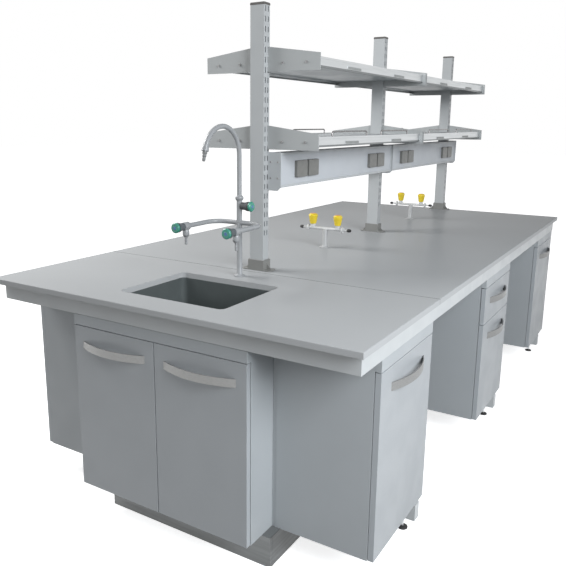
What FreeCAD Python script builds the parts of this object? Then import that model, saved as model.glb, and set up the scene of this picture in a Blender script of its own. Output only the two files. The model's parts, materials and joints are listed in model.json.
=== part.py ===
import FreeCAD, Part
import math
import os
import re
import Sketcher

# Laboratory island bench with a sink, a reagent rack, a socket duct, gas taps and a
# three way water tap. Millimetres, Z up. The origin is on the floor under the middle
# of the worktop, X runs along the length with the sink at the low end, and the socket
# duct faces the low Y side.

DOC = FreeCAD.newDocument("LabBench")
SHEET = DOC.addObject("Spreadsheet::Sheet", "Sizes")

SIZES = {
    # worktop
    "worktop_length": 3000,
    "worktop_width": 1500,
    "worktop_height": 850,
    "worktop_thickness": 20,
    "worktop_edge_radius": 3,
    "seam_setback": 88,
    # sink cut-out and basin
    "sink_place": 120,
    "sink_length": 350,
    "sink_width": 440,
    "sink_corner_radius": 22,
    "basin_reveal": 3,
    "basin_depth": 240,
    "basin_wall": 4,
    "basin_rim_width": 18,
    "basin_rim_thickness": 6,
    "basin_corner_radius": 22,
    "basin_floor_radius": 12,
    "waste_hole_radius": 30,
    # waste fitting and bottle trap
    "waste_flange_radius": 40,
    "waste_flange_thickness": 3,
    "waste_pipe_radius": 20,
    "waste_pipe_wall": 2.5,
    "trap_drop": 70,
    "trap_radius": 38,
    "trap_height": 120,
    "trap_arm": 80,
    "trap_bend": 32,
    "pipe_clearance": 4,
    "waste_outlet_height": 40,
    "waste_spigot_radius": 19,
    "waste_spigot_length": 60,
    "waste_nut_radius": 34,
    "waste_nut_height": 18,
    # steel frame
    "apron_height": 64,
    "apron_thickness": 30,
    "tube_wall": 2,
    "end_overhang": 40,
    "side_overhang": 21,
    "far_overhang": 10,
    "frame_setback": 41,
    "frame_end_setback": 172,
    "frame_bar_width": 40,
    "foot_beam_height": 60,
    "leg_depth": 60,
    "leg_place": 110,
    "foot_height": 50,
    "foot_radius": 19,
    "foot_rim": 5,
    "foot_dome": 10,
    "foot_stem_radius": 5,
    "foot_nut_radius": 9,
    "foot_nut_height": 6,
    "foot_inset": 70,
    "cap_thickness": 3,
    "cap_plug_depth": 12,
    # cabinets and fronts
    "front_inset": 23,
    "board": 16,
    "back_board": 6,
    "front_thickness": 19,
    "front_gap": 2,
    "front_reveal": 3,
    "front_lift": 2,
    "front_edge_radius": 1.2,
    "head_rail_height": 40,
    "stretcher_depth": 80,
    "sink_stretcher_depth": 34,
    "cabinet_width": 450,
    "end_cabinet_place": 190,
    "far_cabinet_inset": 15,
    "cabinet_gap": 13,
    "leg_room": 50,
    "drawer_front_height": 163,
    "sink_front_inset": 42,
    "sink_cabinet_width": 730,
    "supply_room": 25,
    "shelf_setback": 20,
    "plinth_place": 128,
    "plinth_narrowing": 34,
    "plinth_shift": 49,
    # drawers and runners
    "drawer_side": 12,
    "drawer_bottom": 6,
    "drawer_bottom_lift": 12,
    "drawer_end_room": 31,
    "drawer_height": 110,
    "drawer_lift": 24,
    "runner_room": 12.5,
    "runner_rise": 24,
    "runner_sheet": 1.5,
    "runner_height": 34,
    "runner_lip": 9,
    "runner_end_room": 60,
    "runner_gap": 0.3,
    "roller_radius": 8,
    "roller_width": 5.5,
    "roller_hub_radius": 3,
    "roller_inset": 15,
    # bow handles
    "handle_length": 285,
    "handle_height": 28,
    "handle_bow": 30,
    "handle_sheet": 3,
    "handle_drop": 53,
    # concealed hinges
    "cup_radius": 17.5,
    "cup_depth": 12,
    "cup_inset": 22.5,
    "cup_end_distance": 90,
    "cup_flange_width": 50,
    "cup_flange_height": 20,
    "cup_flange_thickness": 1.2,
    "hinge_arm_height": 14,
    "hinge_arm_thickness": 11,
    "hinge_arm_length": 58,
    "hinge_plate_height": 40,
    "hinge_plate_length": 34,
    "hinge_plate_thickness": 2.5,
    "hinge_clearance": 0.4,
    # reagent rack
    "upright_setback": 50,
    "upright_end_setback": 35,
    "upright_length": 40,
    "upright_depth": 60,
    "rack_height": 1000,
    "shoe_height": 43,
    "shoe_wall": 6,
    "shoe_clearance": 0.3,
    "shoe_flange_depth": 132,
    "shoe_flange_thickness": 5,
    "shoe_rib": 5,
    "shoe_rib_reach": 22,
    "shoe_rib_height": 26,
    "column_spread": 9,
    "slot_width": 5,
    "slot_length": 20,
    "slot_pitch": 36,
    "slot_start": 140,
    "bracket_sheet": 3,
    "bracket_reach": 220,
    "bracket_root": 90,
    "bracket_tip": 60,
    "lower_bracket_level": 471,
    "upper_bracket_level": 756,
    "bracket_bolt_radius": 3,
    "bracket_bolt_rise": 30,
    "bracket_bolt_near": 65,
    "bracket_bolt_far": 165,
    "shelf_rise": 12,
    "shelf_strip_height": 38,
    "shelf_strip_sheet": 2,
    "shelf_strip_lip": 12,
    "strip_groove_rise": 29,
    "strip_groove": 1,
    "label_length": 130,
    "label_height": 14,
    "label_rise": 6,
    "label_sheet": 1.6,
    "label_edge": 2,
    "label_recess": 1,
    "shelf_board": 18,
    "shelf_board_drop": 3,
    "shelf_half_depth": 235,
    "shelf_end_gap": 0.3,
    "shelf_notch_gap": 1,
    # guard rails
    "guard_radius": 3,
    "guard_height": 24,
    "guard_bend": 8,
    "guard_length": 325,
    "guard_offset": 80,
    "guard_inset": 5,
    # socket duct
    "duct_rise": 327,
    "duct_height": 133,
    "duct_depth": 58,
    "duct_lip": 10,
    "duct_front_set": 3,
    "duct_plate_height": 147,
    "duct_plate_depth": 60,
    "duct_plate_drop": 12,
    "duct_plate_chamfer": 14,
    "duct_plate_sheet": 2,
    # sockets
    "socket_width": 84,
    "socket_height": 66,
    "socket_pair_gap": 14,
    "socket_end_distance": 112,
    "socket_base": 6,
    "lid_depth": 13,
    "lid_wall": 2,
    "lid_corner": 5,
    "lid_clearance": 0.4,
    "pin_slot_width": 2.4,
    "pin_slot_length": 8,
    "pin_slot_depth": 4,
    "pin_spread": 9.5,
    # water tap
    "tap_setback": 67,
    "tap_flange_radius": 22,
    "tap_flange_height": 6,
    "tap_column_radius": 10.5,
    "tap_shank_radius": 8.3,
    "tap_shank_length": 60,
    "tap_nut_ledge": 4,
    "tap_nut_height": 8,
    "shank_clearance": 1,
    "manifold_height": 205,
    "manifold_reach": 110,
    "manifold_bend": 58,
    "manifold_radius": 9,
    "manifold_forward": 166,
    "valve_radius": 15,
    "valve_length": 30,
    "union_radius": 12.5,
    "union_drop": 26,
    "top_valve_height": 268,
    "tap_column_height": 288,
    "bonnet_radius": 14,
    "bonnet_length": 34,
    "water_knob_radius": 18.5,
    "water_knob_thickness": 14,
    "nozzle_root": 9,
    "nozzle_tip": 3.5,
    "hose_nozzle_radius": 4.5,
    "hose_nozzle_bore": 2.5,
    "hose_nozzle_reach": 67,
    "spout_nut_radius": 15.5,
    "spout_nut_height": 19,
    "spout_radius": 9,
    "spout_rise": 454,
    "spout_bend": 104,
    "spout_collar_root": 11,
    "spout_collar_radius": 13.5,
    "spout_collar_lap": 14,
    "spout_collar_end": 6,
    "spout_tip_length": 35,
    "spout_bore": 2,
    "spout_bore_depth": 12,
    # gas taps
    "gas_flange_radius": 27,
    "gas_column_radius": 12.5,
    "gas_shank_radius": 6.5,
    "gas_bar_height": 89,
    "gas_bar_radius": 7,
    "gas_bar_reach": 92,
    "gas_collar_radius": 14,
    "gas_collar_length": 6,
    "gas_nozzle_radius": 4.5,
    "gas_nozzle_length": 21,
    "gas_tip_radius": 7.5,
    "gas_tip_length": 18,
    "gas_tip_bore": 3,
    "gas_knob_place": 64,
    "gas_neck_radius": 11,
    "gas_neck_height": 12,
    "gas_knob_foot": 14.5,
    "gas_knob_head": 22,
    "gas_knob_height": 48,
    "gas_knob_crown": 15,
    "gas_knob_round": 3,
    "gas_knob_flute": 4,
    "gas_knob_flute_bite": 1.6,
    # running gaps and cutting overrun
    "running_gap": 0.3,
    "cut_over": 5,
}

for row, (name, number) in enumerate(SIZES.items(), start=1):
    SHEET.set(f"A{row}", name)
    SHEET.set(f"B{row}", str(number))
    SHEET.setAlias(f"B{row}", name)
DOC.recompute()

WORD = re.compile(r"[a-z][a-z_]*")
NODES = []

# Places and lengths that follow from the sheet
HALF_LENGTH = "(worktop_length / 2)"
HALF_WIDTH = "(worktop_width / 2)"
TOP_UNDERSIDE = "(worktop_height - worktop_thickness)"
APRON_UNDERSIDE = f"({TOP_UNDERSIDE} - apron_height)"
APRON_FACE = f"({HALF_WIDTH} - side_overhang)"
FRONT_FACE = f"({HALF_WIDTH} - front_inset)"
CABINET_UNDERSIDE = "(foot_height + foot_beam_height)"
CABINET_HEIGHT = f"({APRON_UNDERSIDE} - {CABINET_UNDERSIDE})"
CARCASS_FRONT = "(front_thickness + front_gap)"
DOOR_TOP = f"({CABINET_HEIGHT} - head_rail_height - front_reveal)"
LOWER_DOOR_TOP = f"({DOOR_TOP} - drawer_front_height - front_reveal)"
DRAWER_BASE = f"({LOWER_DOOR_TOP} + front_reveal)"
SINK_MIDDLE = "(sink_place + sink_length / 2)"
BASIN_FLOOR = f"({TOP_UNDERSIDE} - basin_depth)"
TAP_PLACE = "(sink_place + sink_length + tap_setback)"
SEAM_PLACE = f"({TAP_PLACE} + seam_setback)"
FRAME_PLACE = f"({TAP_PLACE} + frame_setback)"
FRAME_PITCH = f"((worktop_length - {FRAME_PLACE} - frame_end_setback) / 2)"
UPRIGHT_PLACE = f"({SEAM_PLACE} + upright_setback)"
UPRIGHT_PITCH = f"((worktop_length - {UPRIGHT_PLACE} - upright_end_setback) / 2)"
FAR_CABINET_PLACE = "(worktop_length - far_cabinet_inset - cabinet_width)"
DRAWER_CABINET_PLACE = f"((end_cabinet_place + {FAR_CABINET_PLACE}) / 2)"
SINK_CABINET_DEPTH = f"({TAP_PLACE} - supply_room - sink_front_inset)"
END_CABINET_DEPTH = f"({FRONT_FACE} - sink_cabinet_width / 2 - cabinet_gap)"
DEEP_CABINET_DEPTH = f"({FRONT_FACE} - leg_place - leg_depth / 2 - leg_room)"
RUNNER_LENGTH = f"({DEEP_CABINET_DEPTH} - {CARCASS_FRONT} - back_board - runner_end_room)"
DRAWER_DEPTH = f"({CARCASS_FRONT} + {RUNNER_LENGTH} - drawer_end_room)"

# Counts and shares
FRAMES = 3
UPRIGHTS = 3
MAX_NODES = 60
NEAR_SHARE = 0.1
CAP_ROUND_SHARE = 0.33
LID_ROUND_SHARE = 0.9
SPOUT_NUT_SHARES = ((0.8, 0), (1, 0.3), (1, 0.6), (0.85, 0.85))
GAS_KNOB_SHARE = 0.84
GAS_KNOB_FLUTES = 10
SLOT_ROWS = 24
SPOUT_LEAN = 15
SPOUT_LEAN_SHARES = (math.cos(math.radians(SPOUT_LEAN)), math.sin(math.radians(SPOUT_LEAN)))
DIAGONAL_SHARE = 1 - 0.5 ** 0.5
TRAP_CUP_SHARES = (0.8, 0.33)
HINGE_ARM_SHARES = (1.6, 0.25, 0.5)
HOSE_RIB_SHARES = ((1, 0.55), (1.25, 0.6), (1, 0.72), (1.25, 0.77), (1, 0.9), (1.2, 0.94), (0.9, 1))
UNION_SHARES = ((0.8, 0), (0.8, 0.4), (1, 0.75), (1, 1.2), (0.6, 1.5))
VALVE_SHARES = ((0.85, 0), (1, 0.12), (1, 0.85), (0.9, 1))
BONNET_SHARES = ((0.85, 0), (1, 0.08), (1, 0.45), (1.27, 0.8), (1.27, 1))
WATER_KNOB_SHARES = ((0.6, 0), (0.95, 0.2), (1, 0.35), (1, 0.72), (0.84, 0.94), (0.34, 0.94), (0.3, 1))
SPOUT_TIP_SHARES = ((0.9, 0), (1, 0.2), (0.75, 0.3), (0.85, 0.5), (0.6, 0.6), (0.7, 0.8), (0.5, 1))
GAS_TIP_SHARES = ((0.8, 0), (1, 0.25), (1, 0.7), (0.75, 1))


def rule(text):
    """Point each named size in a rule at its cell."""
    return WORD.sub(lambda word: "Sizes." + word.group() if word.group() in SIZES else word.group(), text)


def value(text):
    """The number that a rule gives now."""
    return float(SHEET.evalExpression(rule(text)))


def along(place):
    """X of a place that is measured from the worktop's edge at the sink end."""
    return f"({place} - worktop_length / 2)"


def bind(piece, **rules):
    for prop, text in rules.items():
        piece.setExpression(prop, rule(text))


def put(piece, place=("0", "0", "0"), turn=0, axis=(0, 0, 1)):
    """Place a piece: three rules for where it is, and a turn in degrees about an axis."""
    numbers = FreeCAD.Vector(*[value(text) for text in place])
    piece.Placement = FreeCAD.Placement(numbers, FreeCAD.Rotation(FreeCAD.Vector(*axis), turn))
    for letter, text in zip("xyz", place):
        piece.setExpression("Placement.Base." + letter, rule(text))
    return piece


def node(piece, label):
    piece.Label = label
    NODES.append(piece)
    return piece


def block(name, size, place):
    """A straight board or bar: three rules for its size and three for its low corner."""
    piece = DOC.addObject("Part::Box", name)
    bind(piece, Length=size[0], Width=size[1], Height=size[2])
    return put(piece, place)


def fuse(name, pieces):
    whole = DOC.addObject("Part::MultiFuse", name)
    whole.Shapes = pieces
    return whole


def cut(name, base, tool):
    whole = DOC.addObject("Part::Cut", name)
    whole.Base = base
    whole.Tool = tool
    return whole


def group(name, pieces):
    whole = DOC.addObject("Part::Compound", name)
    whole.Links = pieces
    return whole


def copy_of(piece, name, place=("0", "0", "0"), turn=0, axis=(0, 0, 1)):
    link = DOC.addObject("App::Link", name)
    link.LinkedObject = piece
    return put(link, place, turn, axis)


def mirrored(piece, name, normal=(0, 1, 0)):
    other = DOC.addObject("Part::Mirroring", name)
    other.Source = piece
    other.Normal = FreeCAD.Vector(*normal)
    return other


def new_body(name):
    return DOC.addObject("PartDesign::Body", name)


def sketch_on(body, plane, lift="0"):
    """A sketch on one of the body's own planes, lifted along the plane's normal."""
    drawing = body.newObject("Sketcher::SketchObject", body.Name + "Sketch")
    support = [face for face in body.Origin.OriginFeatures if face.Role == plane][0]
    drawing.AttachmentSupport = [(support, "")]
    drawing.MapMode = "FlatFace"
    if lift != "0":
        drawing.setExpression("AttachmentOffset.Base.z", rule(lift))
    return drawing


def pin_point(drawing, geometry, end, x, y):
    """Hold a point of a sketch at two rules."""
    for kind, line, text in (("DistanceX", -2, x), ("DistanceY", -1, y)):
        if text == "0":
            drawing.addConstraint(Sketcher.Constraint("PointOnObject", geometry, end, line))
        else:
            constraint = Sketcher.Constraint(kind, -1, 1, geometry, end, value(text))
            drawing.setExpression(f"Constraints[{drawing.addConstraint(constraint)}]", rule(text))


def hold_radius(drawing, geometry, text):
    constraint = Sketcher.Constraint("Radius", geometry, value(text))
    drawing.setExpression(f"Constraints[{drawing.addConstraint(constraint)}]", rule(text))


def outline(drawing, corners):
    """A closed outline of straight lines through corners that are pairs of rules."""
    first = drawing.GeometryCount
    spots = [FreeCAD.Vector(value(x), value(y), 0) for x, y in corners]
    for start, end in zip(spots, spots[1:] + spots[:1]):
        drawing.addGeometry(Part.LineSegment(start, end), False)
    for index, (x, y) in enumerate(corners):
        following = first + (index + 1) % len(corners)
        drawing.addConstraint(Sketcher.Constraint("Coincident", first + index, 2, following, 1))
        pin_point(drawing, first + index, 1, x, y)
    return drawing


def rectangle(drawing, left, low, width, height):
    right = f"({left} + {width})"
    high = f"({low} + {height})"
    return outline(drawing, [(left, low), (right, low), (right, high), (left, high)])


def circle(drawing, x, y, radius):
    ring = Part.Circle(FreeCAD.Vector(value(x), value(y), 0), FreeCAD.Vector(0, 0, 1), value(radius))
    geometry = drawing.addGeometry(ring, False)
    pin_point(drawing, geometry, 3, x, y)
    hold_radius(drawing, geometry, radius)
    return drawing


def pad(body, drawing, length, backwards=False, middle=False):
    feature = body.newObject("PartDesign::Pad", body.Name + "Pad")
    feature.Profile = drawing
    bind(feature, Length=length)
    feature.Reversed = backwards
    feature.Midplane = middle
    return feature


def pocket(body, drawing, depth, backwards=False):
    feature = body.newObject("PartDesign::Pocket", body.Name + "Pocket")
    feature.Profile = drawing
    bind(feature, Length=depth)
    feature.Reversed = backwards
    return feature


def through(body, drawing):
    feature = body.newObject("PartDesign::Pocket", body.Name + "Through")
    feature.Profile = drawing
    feature.Type = "ThroughAll"
    feature.Midplane = True
    return feature


def turned(body, drawing, axis="V_Axis"):
    feature = body.newObject("PartDesign::Revolution", body.Name + "Turned")
    feature.Profile = drawing
    feature.ReferenceAxis = (drawing, [axis])
    feature.Angle = 360
    return feature


def soften(body, radius, wanted):
    """Round the edges of the body's last feature for which wanted(edge) holds."""
    DOC.recompute()
    base = body.Tip
    names = [f"Edge{n}" for n, edge in enumerate(base.Shape.Edges, start=1) if wanted(edge)]
    feature = body.newObject("PartDesign::Fillet", body.Name + "Fillet")
    feature.Base = (base, names)
    bind(feature, Radius=radius)
    return feature


def pipe(body, profile, path):
    feature = body.newObject("PartDesign::AdditivePipe", body.Name + "Pipe")
    feature.Profile = profile
    feature.Spine = path
    return feature


def body_axis(body, role):
    """One of the body's own axes, by its role."""
    return [line for line in body.Origin.OriginFeatures if line.Role == role][0]


def near(first, second):
    return abs(first - second) < value("running_gap") * NEAR_SHARE


def upright_edge(edge):
    """True for a straight edge that runs along Z."""
    box = edge.BoundBox
    return near(box.XLength, 0) and near(box.YLength, 0)


def flat_edge_at(edge, height):
    box = edge.BoundBox
    return near(box.ZMin, height) and near(box.ZMax, height)


def box_tube(name, size, place, axis):
    """A rectangular tube with open ends along one axis."""
    shrink = ["tube_wall"] * 3
    shrink[axis] = "-cut_over"
    inner_size = [f"({length} - 2 * {step})" for length, step in zip(size, shrink)]
    inner_place = [f"({low} + {step})" for low, step in zip(place, shrink)]
    outer = block(name + "Outer", size, place)
    inner = block(name + "Inner", inner_size, inner_place)
    return cut(name, outer, inner)


# Worktop
def worktop_section(name, label, start, end):
    body = new_body(name)
    face = sketch_on(body, "XY_Plane", TOP_UNDERSIDE)
    rectangle(face, along(start), f"(-{HALF_WIDTH})", f"({end} - {start})", "worktop_width")
    pad(body, face, "worktop_thickness")
    top = value("worktop_height")
    soften(body, "worktop_edge_radius", lambda edge: flat_edge_at(edge, top))
    return node(body, label)


def shank_hole(body, place, radius):
    hole = sketch_on(body, "XY_Plane", TOP_UNDERSIDE)
    circle(hole, along(place), "0", f"({radius} + shank_clearance)")
    through(body, hole)


sink_section = worktop_section("WorktopSinkSection", "worktop_sink_section", "0", SEAM_PLACE)
opening = sketch_on(sink_section, "XY_Plane", TOP_UNDERSIDE)
rectangle(opening, along("sink_place"), "(-sink_width / 2)", "sink_length", "sink_width")
through(sink_section, opening)
sink_sides = (value(along("sink_place")), value(along("sink_place + sink_length")))
soften(
    sink_section,
    "sink_corner_radius",
    lambda edge: upright_edge(edge) and any(near(edge.CenterOfMass.x, side) for side in sink_sides),
)
shank_hole(sink_section, TAP_PLACE, "tap_shank_radius")

BAY_STARTS = [f"({UPRIGHT_PLACE} + {UPRIGHT_PITCH} * {number})" for number in range(UPRIGHTS - 1)]
GAS_PLACES = [f"({start} + {UPRIGHT_PITCH} / 2)" for start in BAY_STARTS]
main_section = worktop_section("WorktopMainSection", "worktop_main_section", SEAM_PLACE, "worktop_length")
for gas_place in GAS_PLACES:
    shank_hole(main_section, gas_place, "gas_shank_radius")

# Steel frame
BEAM_REACH = FRONT_FACE
TOP_BEAM_REACH = f"({APRON_FACE} - apron_thickness)"


def frame_bars(name, inset, overrun):
    """The four bars of one cross frame, or their hollows when inset is the tube wall."""
    wide = f"(frame_bar_width - 2 * {inset})"
    side = f"({inset} - frame_bar_width / 2)"
    foot = block(
        name + "Foot",
        (wide, f"(2 * ({BEAM_REACH} + {overrun}))", f"(foot_beam_height - 2 * {inset})"),
        (side, f"(-{BEAM_REACH} - {overrun})", f"(foot_height + {inset})"),
    )
    head = block(
        name + "Head",
        (wide, f"(2 * ({TOP_BEAM_REACH} + {overrun}))", f"(apron_height - 2 * {inset})"),
        (side, f"(-{TOP_BEAM_REACH} - {overrun})", f"({APRON_UNDERSIDE} + {inset})"),
    )
    legs = []
    for letter, sign in (("A", "-"), ("B", "")):
        legs.append(
            block(
                f"{name}Leg{letter}",
                (wide, f"(leg_depth - 2 * {inset})", f"({CABINET_HEIGHT} + 2 * {inset})"),
                (side, f"({sign}leg_place - leg_depth / 2 + {inset})", f"({CABINET_UNDERSIDE} - {inset})"),
            )
        )
    return fuse(name, [foot, head] + legs)


frame_outside = frame_bars("FrameBars", "0", "0")
frame_hollows = frame_bars("FrameHollows", "tube_wall", "cut_over")
cross_frame = cut("CrossFrame", frame_outside, frame_hollows)
FRAME_PLACES = [f"({FRAME_PLACE} + {FRAME_PITCH} * {number})" for number in range(FRAMES)]
frames = [
    copy_of(cross_frame, f"CrossFrame{number}", (along(place), "0", "0"))
    for number, place in enumerate(FRAME_PLACES, start=1)
]
node(group("CrossFrames", frames), "cross_frames")

END_RAIL_X = along("end_overhang")
FAR_RAIL_X = along("(worktop_length - far_overhang - apron_thickness)")
LONG_RAIL_LENGTH = "(worktop_length - end_overhang - far_overhang - 2 * apron_thickness)"
long_rail = box_tube(
    "LongRail",
    (LONG_RAIL_LENGTH, "apron_thickness", "apron_height"),
    (along("(end_overhang + apron_thickness)"), f"(-{APRON_FACE})", APRON_UNDERSIDE),
    0,
)


def end_channel(name, x, hollow_x):
    """An end rail: a channel whose open side faces the middle of the bench."""
    outer = block(
        name + "Outer",
        ("apron_thickness", f"(2 * {APRON_FACE})", "apron_height"),
        (x, f"(-{APRON_FACE})", APRON_UNDERSIDE),
    )
    hollow = block(
        name + "Hollow",
        ("apron_thickness", f"(2 * {APRON_FACE} - 2 * tube_wall)", "(apron_height - 2 * tube_wall)"),
        (hollow_x, f"(tube_wall - {APRON_FACE})", f"({APRON_UNDERSIDE} + tube_wall)"),
    )
    return cut(name, outer, hollow)


rails = [
    long_rail,
    mirrored(long_rail, "LongRailPlainSide"),
    end_channel("SinkEndRail", END_RAIL_X, f"({END_RAIL_X} + tube_wall)"),
    end_channel("FarEndRail", FAR_RAIL_X, f"({FAR_RAIL_X} - tube_wall)"),
]
node(group("ApronRails", rails), "apron_rails")


def levelling_foot():
    body = new_body("LevellingFoot")
    profile = [
        ("0", "0"),
        ("foot_radius", "0"),
        ("foot_radius", "foot_rim"),
        ("foot_nut_radius", "foot_dome"),
        ("foot_stem_radius", "foot_dome"),
        ("foot_stem_radius", "(foot_height - foot_nut_height)"),
        ("foot_nut_radius", "(foot_height - foot_nut_height)"),
        ("foot_nut_radius", "foot_height"),
        ("0", "foot_height"),
    ]
    turned(body, outline(sketch_on(body, "XZ_Plane"), profile))
    return body


foot = levelling_foot()
FOOT_Y = f"({HALF_WIDTH} - foot_inset)"
feet = []
for number, place in enumerate(FRAME_PLACES, start=1):
    for side, sign in (("Socket", "-"), ("Plain", "")):
        feet.append(copy_of(foot, f"Foot{number}{side}", (along(place), sign + FOOT_Y, "0")))
node(group("LevellingFeet", feet), "levelling_feet")


def end_cap(name, width, depth):
    """A plastic cap with a plug that fits the tube, drawn with its plug down."""
    body = new_body(name)
    plate = sketch_on(body, "XY_Plane")
    rectangle(plate, f"(-{width} / 2)", f"(-{depth} / 2)", width, depth)
    pad(body, plate, "cap_thickness")
    plug_width = f"({width} - 2 * tube_wall - 2 * running_gap)"
    plug_depth = f"({depth} - 2 * tube_wall - 2 * running_gap)"
    plug = sketch_on(body, "XY_Plane")
    rectangle(plug, f"(-{plug_width} / 2)", f"(-{plug_depth} / 2)", plug_width, plug_depth)
    pad(body, plug, "cap_plug_depth", backwards=True)
    thick = value("cap_thickness")
    soften(body, f"(cap_thickness * {CAP_ROUND_SHARE})", lambda edge: flat_edge_at(edge, thick))
    return body


beam_cap = end_cap("BeamCap", "frame_bar_width", "foot_beam_height")
upright_cap = end_cap("UprightCap", "upright_length", "upright_depth")
UPRIGHT_PLACES = [f"({UPRIGHT_PLACE} + {UPRIGHT_PITCH} * {number})" for number in range(UPRIGHTS)]
BEAM_MIDDLE = "(foot_height + foot_beam_height / 2)"
caps = []
BEAM_ENDS = {"Socket": (f"(-{BEAM_REACH})", 90), "Plain": (BEAM_REACH, -90)}
for number, place in enumerate(FRAME_PLACES, start=1):
    for side, (y, turn) in BEAM_ENDS.items():
        spot = (along(place), y, BEAM_MIDDLE)
        caps.append(copy_of(beam_cap, f"BeamCap{number}{side}", spot, turn, (1, 0, 0)))
CAP_LEVEL = "(worktop_height + rack_height - cap_thickness)"
for number, place in enumerate(UPRIGHT_PLACES, start=1):
    caps.append(copy_of(upright_cap, f"UprightCap{number}", (along(place), "0", CAP_LEVEL)))
node(group("TubeEndCaps", caps), "tube_end_caps")

# Sink basin, waste and trap
BASIN_LENGTH = "(sink_length - 2 * basin_reveal)"
BASIN_WIDTH = "(sink_width - 2 * basin_reveal)"


def tray(body, grow, lift):
    """The basin's outline, grown outwards by a rule, as a sketch at a height."""
    length = f"({BASIN_LENGTH} + 2 * {grow})"
    width = f"({BASIN_WIDTH} + 2 * {grow})"
    return rectangle(sketch_on(body, "XY_Plane", lift), f"(-{length} / 2)", f"(-{width} / 2)", length, width)


def basin_shape(name, wall, depth, over):
    """A round cornered tub down from Z 0: the shell's outside, or its hollow."""
    body = new_body(name)
    pad(body, tray(body, wall, f"(-{depth})"), f"({depth} + {over})")
    low = value(f"(-{depth})")
    soften(body, f"(basin_corner_radius + {wall})", upright_edge)
    soften(body, f"(basin_floor_radius + {wall})", lambda edge: flat_edge_at(edge, low))
    return body


def sink_basin():
    shell = basin_shape("BasinShell", "basin_wall", "(basin_depth + basin_wall)", "0")
    pad(shell, tray(shell, "basin_rim_width", "(-basin_rim_thickness)"), "basin_rim_thickness")
    drain = sketch_on(shell, "XY_Plane")
    circle(drain, "0", "0", "waste_hole_radius")
    through(shell, drain)
    return cut("SinkBasin", shell, basin_shape("BasinHollow", "0", "basin_depth", "cut_over"))


basin = put(sink_basin(), (along(SINK_MIDDLE), "0", TOP_UNDERSIDE))
node(basin, "sink_basin")


def waste_fitting():
    """The strainer in the basin floor with its tail pipe down to the trap's cup."""
    body = new_body("WasteFitting")
    bore = "(waste_pipe_radius - waste_pipe_wall)"
    profile = [
        (bore, "(-basin_wall - trap_drop)"),
        ("waste_pipe_radius", "(-basin_wall - trap_drop)"),
        ("waste_pipe_radius", "(-basin_wall - waste_nut_height)"),
        ("waste_nut_radius", "(-basin_wall - waste_nut_height)"),
        ("waste_nut_radius", "(-basin_wall)"),
        ("(waste_hole_radius - running_gap)", "(-basin_wall)"),
        ("(waste_hole_radius - running_gap)", "0"),
        ("waste_flange_radius", "0"),
        ("(waste_flange_radius - waste_flange_thickness)", "waste_flange_thickness"),
        ("(waste_hole_radius - waste_flange_thickness)", "waste_flange_thickness"),
        (bore, "(-basin_wall)"),
    ]
    turned(body, outline(sketch_on(body, "XZ_Plane"), profile))
    return body


TRAP_LEVEL = f"({BASIN_FLOOR} - basin_wall - trap_drop)"


def bottle_trap():
    """A closed cup under the tail pipe, with an arm to the side and a pipe down to the floor."""
    body = new_body("BottleTrap")
    base_share, shoulder_share = TRAP_CUP_SHARES
    cup = [
        ("0", "(-trap_height)"),
        (f"(trap_radius * {base_share})", "(-trap_height)"),
        ("trap_radius", f"(-trap_height + trap_radius * {shoulder_share})"),
        ("trap_radius", "(-waste_nut_height)"),
        ("waste_nut_radius", "(-waste_nut_height)"),
        ("waste_nut_radius", "0"),
        ("0", "0"),
    ]
    turned(body, outline(sketch_on(body, "XZ_Plane"), cup))
    path = sketch_on(body, "XZ_Plane")
    reach = value("trap_arm")
    bend = value("trap_bend")
    corner = bend * DIAGONAL_SHARE
    level = value("(-trap_height / 2)")
    foot_z = f"(waste_outlet_height + waste_spigot_length - {TRAP_LEVEL})"
    path.addGeometry([
        Part.LineSegment(FreeCAD.Vector(0, level, 0), FreeCAD.Vector(reach - bend, level, 0)),
        Part.Arc(
            FreeCAD.Vector(reach - bend, level, 0),
            FreeCAD.Vector(reach - corner, level - corner, 0),
            FreeCAD.Vector(reach, level - bend, 0),
        ),
        Part.LineSegment(FreeCAD.Vector(reach, level - bend, 0), FreeCAD.Vector(reach, value(foot_z), 0)),
    ], False)
    path.addConstraint(Sketcher.Constraint("Tangent", 0, 2, 1, 2))
    path.addConstraint(Sketcher.Constraint("Tangent", 1, 1, 2, 1))
    pin_point(path, 0, 1, "0", "(-trap_height / 2)")
    path.addConstraint(Sketcher.Constraint("Horizontal", 0))
    path.addConstraint(Sketcher.Constraint("Vertical", 2))
    hold_radius(path, 1, "trap_bend")
    pin_point(path, 2, 2, "trap_arm", foot_z)
    ring = sketch_on(body, "YZ_Plane")
    circle(ring, "0", "(-trap_height / 2)", "waste_pipe_radius")
    pipe(body, ring, path)
    spigot = sketch_on(body, "XY_Plane", f"(waste_outlet_height - {TRAP_LEVEL})")
    circle(spigot, "trap_arm", "0", "waste_spigot_radius")
    pad(body, spigot, "waste_spigot_length")
    outlet = sketch_on(body, "XY_Plane", f"(waste_outlet_height - {TRAP_LEVEL})")
    circle(outlet, "trap_arm", "0", "(waste_spigot_radius - waste_pipe_wall)")
    pocket(body, outlet, "(2 * waste_spigot_length)", backwards=True)
    return body


waste = put(waste_fitting(), (along(SINK_MIDDLE), "0", BASIN_FLOOR))
trap = put(bottle_trap(), (along(SINK_MIDDLE), "0", TRAP_LEVEL))
node(group("SinkWaste", [waste, trap]), "sink_waste_and_trap")


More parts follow.
